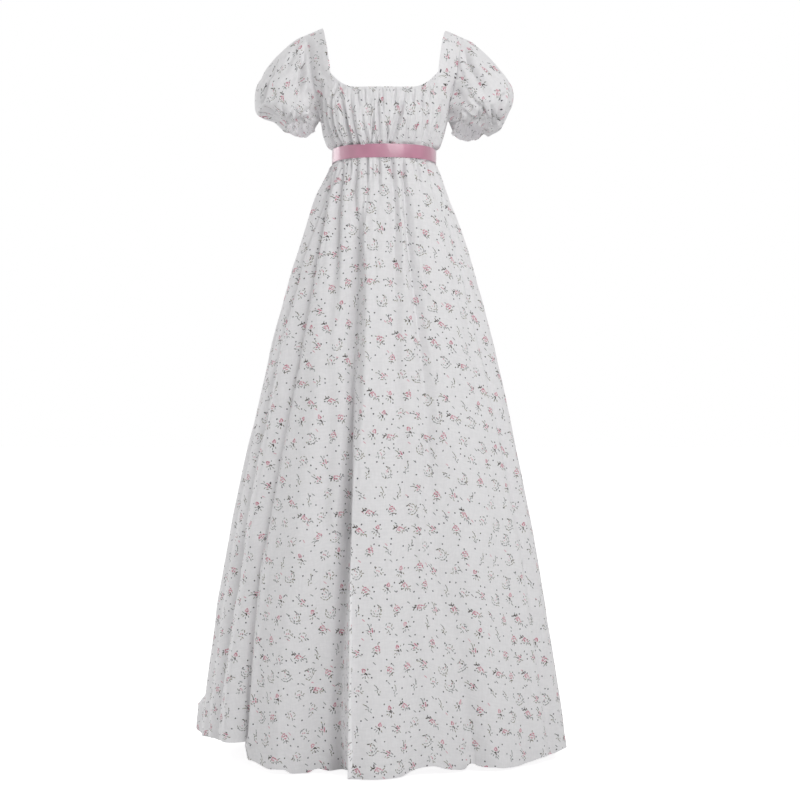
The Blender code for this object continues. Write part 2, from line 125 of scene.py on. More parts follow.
# A fold runs from the waist to the hem: its angle round the skirt in degrees (0 right seam, 90
# centre front, 180 left seam, 270 centre back) and how far it stands out, at four levels, and
# the softness of its two sides in degrees.
Fold = namedtuple("Fold", "waist thigh knee hem d_waist d_thigh d_knee d_hem near far")
FOLD_LEVELS = (0.0, 0.16, 0.50, 1.0)
SKIRT_FOLDS = table(Fold, (
    (150, 148, 146, 144, 0.000, 0.004, 0.012, 0.024, 7.0, 4.0),
    (152, 155, 157, 158, -0.004, -0.012, -0.026, -0.052, 5.0, 11.0),
    (134, 124, 113, 110, -0.005, -0.010, -0.008, 0.000, 4.0, 4.5),
    (121, 108, 105, 106, -0.004, -0.016, -0.036, -0.080, 2.8, 7.5),
    (112, 101, 100, 99, 0.001, 0.006, 0.026, 0.084, 13.0, 2.8),
    (128, 116, 120, 121, 0.000, 0.003, 0.012, 0.034, 6.0, 7.0),
    (81, 81, 82, 82, -0.004, -0.006, -0.003, 0.000, 4.0, 4.0),
    (69, 67, 68, 62, -0.004, -0.010, -0.013, -0.032, 5.0, 6.0),
    (58, 54, 55, 53, -0.003, -0.003, 0.000, 0.008, 5.0, 5.0),
    (33, 37, 38, 38, -0.004, -0.005, -0.004, -0.012, 6.0, 5.0),
    (10, 12, 12, 12, 0.000, 0.003, 0.006, 0.010, 9.0, 8.0),
    (205, 203, 202, 202, 0.000, 0.003, 0.008, 0.018, 9.0, 9.0),
    (226, 225, 224, 222, -0.003, -0.010, -0.018, -0.030, 6.0, 8.0),
    (250, 248, 246, 246, 0.000, 0.004, 0.010, 0.020, 8.0, 7.0),
    (266, 267, 268, 268, -0.003, -0.009, -0.016, -0.030, 7.0, 6.0),
    (288, 290, 292, 292, 0.000, 0.004, 0.010, 0.020, 7.0, 8.0),
    (308, 312, 314, 316, -0.003, -0.010, -0.018, -0.032, 7.0, 6.0),
    (338, 338, 339, 340, -0.002, -0.005, -0.008, -0.016, 6.0, 7.0),
))
# Finer folds, which the solids leave out
SKIRT_CREASES = table(Fold, (
    (172, 171, 170, 169, -0.003, -0.005, -0.007, -0.004, 3.0, 4.0),
    (157, 158, 159, 160, 0.004, 0.009, 0.019, 0.026, 7.0, 9.0),
    (148, 147, 146, 145, 0.000, -0.002, -0.005, -0.008, 5.0, 5.0),
    (120, 126, 127, 130, 0.000, 0.002, 0.003, 0.004, 4.5, 5.0),
    (88, 86, 76, 75, 0.000, 0.000, 0.003, 0.006, 2.4, 3.0),
    (24, 27, 24, 22, -0.004, -0.005, -0.006, -0.008, 2.6, 3.0),
    (14, 16, 17, 18, -0.002, -0.003, 0.003, 0.004, 2.4, 2.8),
    (4, 5, 5, 4, -0.002, -0.003, -0.004, -0.005, 2.2, 2.4),
    (188, 190, 191, 192, -0.003, -0.005, -0.006, -0.008, 2.8, 3.4),
    (214, 213, 213, 211, -0.004, -0.003, 0.003, 0.004, 2.6, 3.2),
    (236, 237, 236, 235, -0.005, -0.006, -0.002, 0.004, 2.4, 3.6),
    (258, 257, 256, 257, -0.003, -0.005, -0.005, -0.006, 2.6, 3.0),
    (277, 279, 280, 280, -0.006, -0.006, 0.002, 0.006, 2.6, 3.0),
    (298, 301, 303, 303, -0.003, -0.006, -0.005, -0.007, 2.6, 3.2),
    (322, 325, 327, 328, -0.005, -0.003, 0.003, 0.005, 2.4, 3.2),
    (349, 350, 352, 353, -0.003, -0.005, -0.005, -0.006, 2.6, 3.0),
))
# How soon below the waist seam the folds and the finer folds begin
FOLDS_BEGIN = 0.06
CREASES_BEGIN = 0.03

# An uneven wave: how strong it is, how fast it turns across the cloth, its seed, and how fast it
# turns along the cloth's other way
Wave = namedtuple("Wave", "size pitch seed slant", defaults=(0,))

# Gathers of the skirt: how many would go round it, their depth, and over what share of its length
# and with what power they fade. The number of fine gathers is for each of them.
SKIRT_GATHERS = 42
SKIRT_GATHER_DEPTH = 0.0056
SKIRT_GATHER_FADE = (0.24, 1.4)
SKIRT_GATHER_MEAN = 0.55
SKIRT_GATHER_DEPTHS = Wave(0.35, 0.71, 0.6)
SKIRT_GATHER_PLACES = Wave(0.42, 0.83, 1.9)
FINE_GATHERS = 2.37
FINE_GATHER_DEPTH = 0.0011
FINE_GATHER_FADE = (0.07, 1.3)
FINE_GATHER_DEPTHS = Wave(0.0008, 1.3, 2.2)
FINE_GATHER_PLACES = Wave(0.5, 1.7, 0.4)
GATHER_RISE = 0.014
GATHER_AT_RIBBON = 0.22
SKIRT_SWAY = 0.0022
SKIRT_SWAY_DEGREES = 9
SKIRT_SWAY_LEAN = Wave(1.5, 7, 0.2)

# Gathers of the bodice
BODICE_GATHER_MEAN = 0.50
BODICE_GATHER_DEPTHS = Wave(0.35, 0.8, 1.1)
BODICE_GATHER_PLACES = Wave(0.40, 0.9, 2.4)
BODICE_FINE_GATHERS = 2.4
BODICE_FINE_PLACES = Wave(0.7, 17, 0.9, 1.3)
BODICE_FINE_DEPTH = 0.0010
BODICE_FINE_DEPTHS = Wave(0.0007, 23, 1.3, 0.8)
BODICE_SWAY = Wave(0.0012, 9, 2.6, 2.2)
# How much of each kind of depth the neckline takes away, and from what share of the way up
BODICE_GATHER_HOLD = 0.75
BODICE_FINE_HOLD = 0.4
NECKLINE_HOLD, NECKLINE_HELD = 0.8, (0.97, 0.03)
NECK_ROLL = 0.0004
NECK_ROLL_DROP = 0.003

# Neckline and straps
NECK_HALF_WIDTH = 0.129
STRAP_WIDTH = 0.036
SHOULDER_SLOPE = 0.015
Strap = namedtuple("Strap", "side shoulder_z sway")
STRAPS = (Strap(1, -0.0025, Wave(0.0010, 5, 2.7, 4)), Strap(-1, 0.0025, Wave(0.0010, 5, 1.3, 4)))
NECK_BASE_HALF_WIDTH = 0.111
NECK_CORNER_POWER = 2.2
Neckline = namedtuple("Neckline", "bottom corner_z corner_width strap_base")
FRONT_NECK = Neckline(-0.133, -0.098, 0.054, -0.112)
BACK_NECK = Neckline(-0.124, -0.098, 0.054, -0.112)
WAIST_SIDE_ANGLE = 17
WAIST_STRAP_ANGLE = 36

# Creases by their places in the front view, for hidden sides too: three places that each runs
# through, its depth at each of them and how wide its two sides are, all in millimetres. Left and
# right are the sides of a crease that runs down, and a depth under zero is a ridge.
Crease = namedtuple("Crease", "x1 z1 x2 z2 x3 z3 d1 d2 d3 left right")
SKIRT_FRONT_LINES = table(Crease, (
    (-86, -285, -95, -432, -93, -640, 5, 9, 1, 9, 7),
    (-56, -281, -57, -331, -55, -392, 5, 6, 1, 5, 5),
    (-37, -285, -34, -343, -40, -405, 5, 6, 5, 6, 4),
    (-12, -279, -10, -320, -8, -365, 5, 6, 1, 4, 4),
    (16, -281, 24, -373, 23, -465, 4, 5, 5, 9, 7),
    (23, -465, 21, -646, 29, -904, 5, 4, 1, 12, 9),
    (36, -284, 46, -386, 54, -484, 4, 10, 11, 6, 7),
    (54, -484, 68, -600, 81, -720, 11, 8, 6, 8, 8),
    (81, -720, 89, -880, 93, -1100, 5, 5, 2, 9, 10),
    (66, -800, 72, -960, 78, -1180, -2, -4, -2, 8, 8),
    (100, -860, 124, -1160, 153, -1490, -3, -9, -12, 20, 24),
    (92, -280, 102, -327, 114, -404, 4, 4, 1, 8, 8),
    (130, -331, 145, -449, 159, -563, 2, 4, 1, 13, 13),
    (172, -541, 183, -665, 194, -786, 2, 4, 1, 18, 18),
    (-110, -288, -124, -375, -147, -502, 6, 11, 13, 10, 7),
    (-147, -502, -163, -584, -189, -736, 13, 13, 14, 15, 10),
    (-189, -736, -218, -877, -255, -1086, 14, 15, 16, 19, 11),
    (-255, -1086, -270, -1226, -283, -1434, 16, 17, 22, 22, 9),
    (-40, -345, -46, -410, -46, -480, 4, 11, 14, 9, 5),
    (-46, -480, -46, -590, -49, -700, 14, 14, 11, 12, 6),
    (-49, -700, -56, -830, -64, -1000, 11, 8, 2, 13, 7),
    (-32, -430, -34, -627, -40, -806, -2, -4, -3, 8, 12),
    (-75, -393, -70, -565, -78, -726, -2, -5, -6, 6, 6),
    (-73, -690, -82, -880, -91, -1050, -8, -24, -36, 26, 14),
    (-91, -1050, -93, -1250, -98, -1500, -36, -52, -57, 48, 22),
    (-66, -860, -74, -1220, -78, -1500, 3, 20, 34, 12, 46),
    (-86, -277, -86, -312, -90, -355, 6, 8, 3, 3, 3),
    (-68, -276, -68, -300, -69, -330, 6, 6, 1, 3, 3),
    (-56, -277, -56, -312, -55, -355, 6, 7, 2, 3, 3),
    (-34, -277, -34, -314, -36, -360, 8, 9, 4, 3, 3),
    (-10, -277, -9, -305, -8, -345, 6, 6, 1, 3, 3),
    (17, -277, 19, -312, 23, -365, 7, 7, 3, 3, 3),
    (40, -284, 44, -332, 52, -385, 5, 9, 6, 4, 3),
    (68, -277, 71, -302, 75, -338, 7, 7, 1, 3, 3),
    (90, -278, 96, -307, 104, -348, 7, 7, 2, 3, 3),
    (-98, -280, -104, -315, -112, -352, 6, 8, 4, 3, 3),
    (-101, -269, -104, -285, -108, -301, 4, 4, 1, 4, 4),
    (-75, -271, -75, -291, -77, -311, 4, 4, 1, 4, 4),
    (57, -275, 59, -292, 61, -312, 4, 3, 0, 4, 4),
    (74, -273, 78, -294, 82, -319, 4, 4, 1, 4, 4),
    (1, -274, 1, -287, 1, -301, 4, 3, 0, 4, 4),
))
# Where the skirt's cloth slides sideways under a fold: depths under zero move it toward +X
SKIRT_TUCKS = table(Crease, (
    (-66, -760, -69, -880, -74, -1020, -3, -8, -11, 20, 7),
    (-74, -1020, -79, -1220, -83, -1500, -11, -17, -23, 24, 8),
    (-268, -1060, -280, -1260, -292, -1500, -2, -8, -16, 20, 9),
    (170, -1380, 172, -1430, 174, -1500, -1, -5, -9, 12, 6),
    (-136, -1400, -138, -1450, -139, -1500, -1, -4, -9, 9, 5),
))
SKIRT_BACK_LINES = table(Crease, (
    (-88, -283, -99, -360, -104, -480, 5, 7, 2, 8, 6),
    (-58, -281, -63, -340, -62, -410, 5, 6, 1, 6, 5),
    (-24, -282, -27, -370, -33, -520, 4, 7, 2, 8, 8),
    (8, -280, 10, -320, 9, -360, 5, 5, 1, 5, 4),
    (31, -282, 38, -380, 44, -560, 4, 8, 3, 8, 10),
    (63, -280, 70, -330, 82, -420, 5, 6, 2, 6, 6),
    (92, -284, 108, -370, 124, -470, 4, 7, 3, 7, 9),
    (-46, -279, -44, -298, -45, -318, 4, 3, 0, 4, 4),
    (48, -278, 51, -300, 52, -326, 4, 4, 0, 4, 4),
))
BODICE_FRONT_LINES = table(Crease, (
    (-88, -151, -78, -195, -66, -246, 3, 8, 7, 5, 4),
    (-68, -152, -62, -204, -51, -247, 1, 5, 6, 4, 3),
    (-120, -160, -114, -208, -98, -248, 5, 8, 7, 3, 3),
    (-109, -154, -104, -206, -86, -248, 4, 9, 8, 3, 3),
    (-129, -163, -125, -208, -108, -248, 5, 8, 6, 3, 3),
    (-12, -150, -10, -197, -7, -244, 1, 5, 3, 3, 4),
    (-29, -153, -31, -185, -34, -217, 1, 3, 1, 7, 7),
    (-44, -177, -42, -209, -32, -245, 1, 4, 5, 4, 4),
    (45, -138, 32, -191, 13, -246, 2, 7, 5, 4, 5),
    (-11, -150, -11, -190, -9, -246, 2, 5, 4, 2, 2),
    (-22, -140, -20, -190, -26, -246, 1, 4, 4, 2, 2),
    (-3, -140, -2, -170, -1, -205, 2, 3, 1, 2, 2),
    (5, -205, 8, -225, 6, -246, 1, 4, 4, 2, 2),
    (-39, -140, -37, -162, -34, -190, 2, 3, 0, 2, 2),
    (-54, -140, -51, -158, -48, -180, 2, 3, 0, 2, 2),
    (24, -140, 22, -155, 20, -172, 2, 3, 0, 2, 2),
    (62, -140, 60, -160, 58, -185, 2, 3, 0, 2, 2),
    (78, -138, 78, -160, 76, -190, 2, 3, 1, 2, 2),
    (92, -132, 94, -158, 92, -190, 2, 3, 1, 2, 2),
    (120, -160, 118, -205, 104, -247, 2, 5, 5, 3, 3),
    (100, -150, 94, -189, 82, -241, 1, 4, 4, 4, 6),
    (21, -161, 21, -181, 19, -203, 0, 3, 0, 5, 5),
    (47, -197, 45, -217, 41, -243, 1, 4, 4, 7, 7),
    (67, -204, 63, -223, 57, -245, 1, 3, 4, 4, 4),
    (116, -177, 110, -206, 99, -244, 1, 3, 4, 4, 4),
    (-20, -214, -18, -230, -14, -246, 0, 3, 4, 4, 4),
    (-93, -128, -103, -148, -115, -173, 1, 3, 2, 3, 3),
    (-80, -133, -93, -153, -107, -178, 1, 3, 1, 3, 3),
    (106, -129, 112, -149, 118, -172, 1, 2, 1, 3, 3),
    (-131, -120, -132, -161, -130, -195, 2, 6, 5, 6, 6),
    (-134, -79, -126, -99, -115, -116, 1, 3, 1, 5, 5),
    (-108, -213, -102, -228, -94, -245, -1, -3, -2, 3, 3),
    (-94, -185, -85, -214, -74, -247, -1, -4, -3, 3, 3),
    (-76, -177, -69, -210, -60, -245, -1, -4, -3, 3, 3),
    (-58, -150, -55, -190, -47, -226, -1, -3, -2, 3, 3),
    (-20, -150, -18, -195, -13, -238, -2, -3, -2, 3, 3),
    (5, -137, 8, -165, 10, -190, -1, -2, 0, 3, 3),
    (47, -145, 39, -195, 29, -240, -1, -3, -3, 4, 3),
    (88, -150, 80, -195, 70, -240, -1, -3, -2, 4, 4),
))
BODICE_BACK_LINES = table(Crease, (
    (-92, -160, -88, -200, -74, -246, 1, 4, 5, 5, 5),
    (-60, -170, -54, -205, -44, -246, 0, 4, 5, 5, 6),
    (-24, -150, -22, -196, -18, -246, 1, 4, 4, 5, 5),
    (14, -176, 13, -208, 9, -246, 0, 4, 5, 5, 6),
    (50, -158, 43, -202, 33, -246, 1, 4, 4, 6, 5),
    (84, -166, 78, -206, 64, -246, 1, 5, 5, 5, 5),
    (112, -176, 106, -208, 92, -246, 1, 3, 4, 5, 5),
))
LEFT_SLEEVE_LINES = table(Crease, (
    (-160, -46, -164, -102, -171, -160, 7, 10, 3, 6, 4),
    (-197, -209, -190, -187, -174, -164, 5, 5, 1, 3, 4),
    (-186, -207, -166, -188, -142, -170, 5, 6, 2, 3, 4),
    (-191, -206, -178, -186, -160, -170, -4, -7, -3, 4, 4),
    (-206, -203, -203, -182, -190, -160, -3, -5, -1, 5, 4),
    (-238, -172, -204, -190, -156, -186, -4, -7, -5, 5, 20),
    (-152, -204, -150, -184, -140, -164, -2, -4, -1, 4, 4),
    (-243, -150, -231, -178, -215, -204, 3, 4, 4, 4, 3),
    (-236, -140, -226, -162, -212, -180, -1, -4, -2, 5, 4),
    (-212, -206, -206, -200, -197, -206, 5, 6, 5, 3, 3),
    (-149, -68, -141, -103, -135, -126, 4, 6, 3, 4, 4),
    (-224, -68, -237, -117, -245, -160, 2, 6, 6, 8, 5),
    (-245, -157, -228, -178, -196, -200, 3, 3, 3, 3, 3),
    (-194, -201, -172, -200, -147, -194, 4, 5, 4, 3, 3),
    (-139, -146, -147, -173, -154, -196, 3, 5, 4, 5, 5),
    (-177, -28, -192, -62, -201, -98, 1, 3, 1, 5, 6),
    (-207, -198, -204, -183, -197, -166, 4, 4, 1, 3, 3),
    (-183, -203, -180, -187, -178, -168, 4, 4, 1, 3, 3),
    (-163, -203, -161, -189, -160, -172, 4, 3, 0, 3, 3),
    (-225, -186, -217, -174, -207, -158, 3, 3, 0, 3, 3),
    (-216, -126, -222, -146, -224, -166, 0, 3, 1, 7, 7),
))
RIGHT_SLEEVE_LINES = table(Crease, (
    (154, -30, 172, -79, 205, -144, 3, 7, 3, 7, 9),
    (165, -128, 193, -167, 227, -201, 1, 4, 3, 5, 2),
    (243, -145, 244, -169, 240, -192, 3, 7, 6, 4, 4),
    (205, -175, 196, -192, 200, -212, 2, 5, 6, 3, 3),
    (224, -170, 228, -186, 226, -206, 2, 6, 6, 3, 3),
    (160, -180, 178, -194, 200, -206, 2, 5, 4, 3, 3),
    (133, -196, 160, -203, 187, -212, 3, 4, 4, 3, 3),
    (134, -80, 136, -130, 133, -186, -4, -8, -5, 9, 9),
    (194, -45, 214, -73, 232, -103, 1, 3, 1, 6, 6),
    (176, -216, 176, -201, 178, -187, 4, 3, 0, 3, 3),
    (199, -220, 198, -207, 199, -192, 4, 4, 0, 3, 3),
    (221, -219, 219, -207, 214, -194, 4, 3, 0, 3, 3),
    (153, -208, 154, -194, 156, -178, 4, 3, 0, 3, 3),
    (212, -186, 220, -196, 232, -208, 0, 3, 2, 3, 3),
))
LEFT_SLEEVE_BACK_LINES = table(Crease, (
    (-158, -44, -166, -96, -170, -150, 4, 6, 2, 7, 7),
    (-190, -52, -206, -98, -214, -146, 2, 5, 3, 7, 6),
    (-146, -84, -147, -122, -152, -160, 3, 5, 2, 5, 5),
    (-232, -112, -236, -142, -232, -170, 1, 5, 4, 6, 5),
    (-192, -208, -190, -190, -186, -168, 4, 4, 1, 4, 4),
    (-168, -208, -168, -192, -170, -172, 4, 4, 0, 4, 4),
))
RIGHT_SLEEVE_BACK_LINES = table(Crease, (
    (156, -46, 163, -100, 166, -156, 4, 6, 2, 7, 7),
    (186, -50, 204, -100, 216, -150, 2, 6, 3, 7, 6),
    (142, -90, 146, -128, 154, -164, 3, 5, 2, 5, 5),
    (230, -108, 238, -146, 236, -176, 1, 5, 4, 6, 5),
    (190, -216, 188, -198, 184, -174, 4, 4, 1, 4, 4),
    (164, -214, 166, -196, 170, -176, 4, 4, 0, 4, 4),
))
# How deep each part's creases are, as a share of the depths in its table
SKIRT_CREASE = 1.2
BODICE_CREASE = 1.7
SLEEVE_CREASE = 1.7
# Where creases begin beside the waist seam, and over how much they reach their depth
CREASES_FREE = (0.005, 0.010)
# Steps along a crease, the power that its sides fade with, and the raised banks beside it: their
# share of its depth, and where they stand and how wide they are as shares of its own width
CREASE_STEPS = 14
CREASE_POWER = 1.6
BANK_HEIGHT, BANK_PLACE, BANK_WIDTH = 0.25, 2.0, 0.8

# Panels of the skirt, from one side seam to the other in degrees. Facing is 1 before the side
# seams and -1 behind them, and shift tells the print's places apart from panel to panel.
Skirt = namedtuple("Skirt", "name facing first columns lines tucks shift flat area")
SKIRTS = (
    Skirt("skirt_front", 1, 0, 392, SKIRT_FRONT_LINES, SKIRT_TUCKS, 0.0, (1.30, 1.27), 1.10),
    Skirt("skirt_back", -1, 180, 330, SKIRT_BACK_LINES, (), 3.1, (1.30, 1.29), 1.10),
)
Bodice = namedtuple(
    "Bodice", "name facing neck armhole neck_columns gathers gather_depth lines shift flat area"
)
BODICES = (
    Bodice(
        "bodice_front", 1, FRONT_NECK, 0.056, 260, 18, 0.0044, BODICE_FRONT_LINES, 1.3,
        (0.50, 0.26), 0.075,
    ),
    Bodice(
        "bodice_back", -1, BACK_NECK, 0.054, 150, 10, 0.0030, BODICE_BACK_LINES, 2.2,
        (0.50, 0.26), 0.075,
    ),
)

# Sleeves. The edge is how far a sleeve's side is drawn in at levels, and the foot how far its
# lower side is raised at places out from the middle: level or place and distance, in millimetres.
Sleeve = namedtuple(
    "Sleeve",
    "name side hem_inner hem_outer inner_z outer_z hem_depth tilt reach slope edge foot"
    " lines back_lines shift",
)
SLEEVES = (
    Sleeve(
        "sleeve_left", -1, 0.146, 0.204, -0.212, -0.213, 0.047, 0.010, 1.04, 1.05,
        (
            (-10, 0), (-35, 5), (-62, 4), (-85, 2), (-103, 2), (-115, -2), (-140, -3),
            (-156, -4), (-171, -6), (-180, -4), (-187, 2), (-195, 4), (-215, 4),
        ),
        (
            (130, 0), (140, 5), (166, 6), (188, 6), (199, 10), (209, 8), (218, 10), (228, 13),
            (235, 13), (242, 9), (248, 4), (256, 0), (270, 0),
        ),
        LEFT_SLEEVE_LINES, LEFT_SLEEVE_BACK_LINES, 0.6,
    ),
    Sleeve(
        "sleeve_right", 1, 0.143, 0.205, -0.214, -0.219, 0.047, 0.013, 1.06, 1.22,
        (
            (-25, 0), (-32, 5), (-75, 5), (-93, 2), (-112, -2), (-120, -3), (-140, -2),
            (-160, 2), (-171, 5), (-187, 4), (-203, -1), (-215, 0),
        ),
        (
            (130, 2), (150, 3), (160, 6), (182, 4), (190, 6), (199, 8), (206, 13), (211, 10),
            (217, 3), (228, 2), (240, 0), (260, 0),
        ),
        RIGHT_SLEEVE_LINES, RIGHT_SLEEVE_BACK_LINES, 1.9,
    ),
)
# How a sleeve leaves the armhole and arrives at its hem, and how much more so at its outer side
LEAVE_OUT, LEAVE_OUT_MORE = 0.039, 0.033
LEAVE_FORWARD = 0.050
LEAVE_DOWN, LEAVE_DOWN_MORE = 0.012, 0.011
ARRIVE_OUT = 0.0585
ARRIVE_FORWARD = 0.068
ARRIVE_UP, ARRIVE_UP_MORE = 0.014, 0.024
SLEEVE_CLEARANCE = 0.0002
# Its gathers, and the room in metres that so many columns need for gathers of the full depth
SLEEVE_GATHERS = 11
SLEEVE_GATHER_DEPTH = 0.0075
GATHER_COLUMNS = 3
SLEEVE_GATHER_ROOM = 0.014
SLEEVE_SWAY = Wave(0.0016, 5, 0.5, 3)
# The share of its way down over which its head and its hem hold the cloth
HEAD_HOLD, HEM_HOLD = 0.08, 0.06
# Fine pleats at its hem and its head, and the waves of the frill below the elastic: how many, how
# deep, and from where and over how much of the way down they rise
HEM_PLEATS, HEM_PLEAT_DEPTH, HEM_PLEATS_RISE = 26, 0.0034, (0.76, 0.2)
HEAD_PLEATS, HEAD_PLEAT_DEPTH, HEAD_PLEATS_END = 30, 0.0012, 0.3
FRILL_WAVES, FRILL_OUT, FRILL_OUT_RISE = 13, 0.0018, (0.955, 0.045)
FRILL_DOWN, FRILL_DOWN_RISE = 0.0026, (0.9, 0.1)
# Where its outline's tables begin to count, and over how much they come to count in full: out
# from the middle, and down from the shoulder
OUTER_SIDE = (0.15, 0.07)
LOWER_SIDE = (0.150, 0.035)

# ---------------------------------------------------------------- how fine the shells are
SKIRT_ROWS, SKIRT_ROW_POWER = 108, 1.5
SIDE_COLUMNS = 24
STRAP_COLUMNS = 16
BODICE_ROWS = 60
STRAP_ROWS = 44
SLEEVE_COLUMNS = 264
SLEEVE_ROWS = 84
RIBBON_COLUMNS = 420
RIBBON_ROWS = 12
SHARP_ANGLE = 62

# Sewing. Hem rows are the heights of rows of points above the hem's edge, and rows of stitches
# are counted from the neckline and from the sleeve's hem.
HEM_FOLD = 0.025
HEM_ROWS = (0.034, 0.0285, 0.0262, 0.025, 0.0238, 0.0215, 0.013, 0.005)
HEM_THICKNESS = 0.0006
STITCH_GROOVE = 0.0005
STITCH_GROOVE_WIDTH = 0.0012
SEAM_GROOVE = 0.0009
SEAM_GROOVE_WIDTH = 0.0022
SIDE_SEAM_FREE = (0.012, 0.01)
SKIRT_MEAN_RADIUS = 0.35
SLEEVE_LENGTH = 0.2
NECK_STITCH_ROW = 3
CASING_STITCH_ROW = -5
STITCH_LENGTH = 0.0026
STITCH_SPACE = 0.0009
THREAD_RADIUS = 0.00022
THREAD_SIDES = 5
# One stitch: shares of its length, and how proud and how wide it is there in thread radii
STITCH_SHARES = np.array([0.0, 0.18, 0.5, 0.82, 1.0])
STITCH_PROUD = np.array([-0.2, 0.75, 1.1, 0.75, -0.2]) * THREAD_RADIUS
STITCH_WIDTH = np.array([0.3, 0.9, 1.0, 0.9, 0.3]) * THREAD_RADIUS

# Half the angle that a skirt panel spans when it is laid flat, in radians
CONE_ANGLE = 0.36


# ---------------------------------------------------------------- shapes
def smooth(share):
    share = np.clip(share, 0.0, 1.0)
    return share * share * (3 - 2 * share)


def inside(share, steepness, start=0.0):
    """1 inside a share and 0 outside it, with soft ends that a start moves outward."""
    return smooth(share * steepness + start) * smooth((1 - share) * steepness + start)


def risen(place, start, width):
    """0 up to a start, then rising to 1 over a width."""
    return smooth((place - start) / width)


def fading(place, reach, power=2):
    """1 at place 0, falling away smoothly over a reach."""
    return np.exp(-((place / reach) ** power))


def hollows(turn):
    """Smooth valleys, one a turn: 0 between them and 1 in the middle of each."""
    return 0.5 - 0.5 * np.cos(turn)


def along(places, values, place):
    """Values on a smooth curve through a short table; places rise."""
    places = np.asarray(places, float)
    values = np.asarray(values, float)
    place = np.clip(place, places[0], places[-1])
    i = np.clip(np.searchsorted(places, place) - 1, 0, len(places) - 2)
    k = np.arange(len(places))
    low, high = np.maximum(k - 1, 0), np.minimum(k + 1, len(places) - 1)
    slope = (values[high] - values[low]) / (places[high] - places[low])
    step = places[i + 1] - places[i]
    u = (place - places[i]) / step
    start = (1 + 2 * u) * (1 - u) ** 2 * values[i] + u * (1 - u) ** 2 * step * slope[i]
    end = u * u * (3 - 2 * u) * values[i + 1] + u * u * (u - 1) * step * slope[i + 1]
    return start + end


def ring_at(rings, z):
    """The sections at an array of levels between a table's rings."""
    columns = list(zip(*sorted(rings)))
    return Ring(z, *(along(columns[0], column, z) for column in columns[1:]))


def signed_power(base, power):
    return np.sign(base) * np.abs(base) ** power


def on_ring(ring, degrees, out=0.0):
    """Points of sections, moved out along the sections' own normals. The waist sags a little at
    the sides."""
    turn = np.radians(degrees)
    c, s = np.cos(turn), np.sin(turn)
    depth = np.where(s >= 0, ring.front, ring.back)
    x = signed_power(c, 2 / ring.power)
    y = -signed_power(s, 2 / ring.power)
    normal_x = signed_power(x, ring.power - 1) / ring.half_width
    normal_y = signed_power(y, ring.power - 1) / depth
    size = np.hypot(normal_x, normal_y)
    sag = WAIST_SAG * np.abs(c) ** 6 * fading(ring.z - WAIST_Z, WAIST_SAG_HEIGHT)
    return np.stack(np.broadcast_arrays(
        ring.middle + x * ring.half_width + out * normal_x / size,
        y * depth + out * normal_y / size,
        ring.z - sag,
    ), axis=-1)


def folds_out(folds, degrees, drop):
    """How far folds stand out at angles, at shares of the way to the hem."""
    total = np.zeros(np.broadcast(degrees, drop).shape)
    for fold in folds:
        middle = along(FOLD_LEVELS, fold[:4], drop)
        depth = along(FOLD_LEVELS, fold[4:8], drop)
        distance = (degrees - middle + 180) % 360 - 180
        total += depth * fading(distance, np.where(distance < 0, fold.near, fold.far))
    return total


def crease_path(crease):
    """Places along a crease, which bends through its three places, and its depth at each."""
    share = np.linspace(0, 1, CREASE_STEPS + 1)
    parts = (2 * (share - 0.5) * (share - 1), 4 * share * (1 - share), 2 * share * (share - 0.5))
    x = parts[0] * crease.x1 + parts[1] * crease.x2 + parts[2] * crease.x3
    z = parts[0] * crease.z1 + parts[1] * crease.z2 + parts[2] * crease.z3
    depth = np.interp(share, (0, 0.5, 1), (crease.d1, crease.d2, crease.d3))
    return x, z, depth


def beside(path, place_x, place_z):
    """How far places are from a crease's path, on which side of it, and its depth next to them."""
    best = np.full(place_x.shape, np.inf)
    side = np.zeros(place_x.shape)
    deep = np.zeros(place_x.shape)
    x, z, depth = path
    for k in range(CREASE_STEPS):
        run_x, run_z = x[k + 1] - x[k], z[k + 1] - z[k]
        length = math.hypot(run_x, run_z)
        off_x, off_z = place_x - x[k], place_z - z[k]
        share = np.clip((off_x * run_x + off_z * run_z) / length**2, 0, 1)
        away = np.hypot(off_x - share * run_x, off_z - share * run_z)
        closer = away < best
        best = np.where(closer, away, best)
        side = np.where(closer, run_x * off_z - run_z * off_x, side)
        deep = np.where(closer, depth[k] + share * (depth[k + 1] - depth[k]), deep)
    return best, side, deep


def creased(creases, points):
    """How far creases draw the cloth in or out at points, by their places in the front view."""
    valley = np.zeros(points.shape[:-1])
    ridge = np.zeros(points.shape[:-1])
    place_x, place_z = points[..., 0] * 1000, points[..., 2] * 1000
    for crease in creases:
        path = crease_path(crease)
        reach = 4 * max(crease.left, crease.right)
        near = np.ones(place_x.shape, bool)
        for place, line in ((place_x, path[0]), (place_z, path[1])):
            near &= (place > line.min() - reach) & (place < line.max() + reach)
        best, side, deep = beside(path, place_x[near], place_z[near])
        spread = best / np.where(side > 0, crease.right, crease.left)
        form = fading(spread, 1, CREASE_POWER)
        banks = BANK_HEIGHT * fading(spread - BANK_PLACE, BANK_WIDTH)
        valley[near] = np.maximum(valley[near], deep * form)
        ridge[near] = np.maximum(ridge[near], np.maximum(-deep * form, deep * banks))
    return (ridge - valley) / 1000


def ripple(place, seed):
    """A smooth uneven wave between about -1 and 1, of three waves that don't keep in step."""
    waves = np.sin(place + seed) + 0.7 * np.sin(2.17 * place + 2.3 * seed)
    return (waves + 0.5 * np.sin(4.61 * place + 3.9 * seed)) / 2.0


def rippled(wave, place, down=0):
    return wave.size * ripple(wave.pitch * place + wave.slant * down, wave.seed)


def gather(turns, phase):
    """A row of valleys of uneven depth: 0 on a crest and -1 in the deepest valley."""
    uneven = 0.72 + 0.28 * np.sin(5.3 * turns + phase)
    return -0.5 * uneven * (1 - np.cos(2 * np.pi * turns))


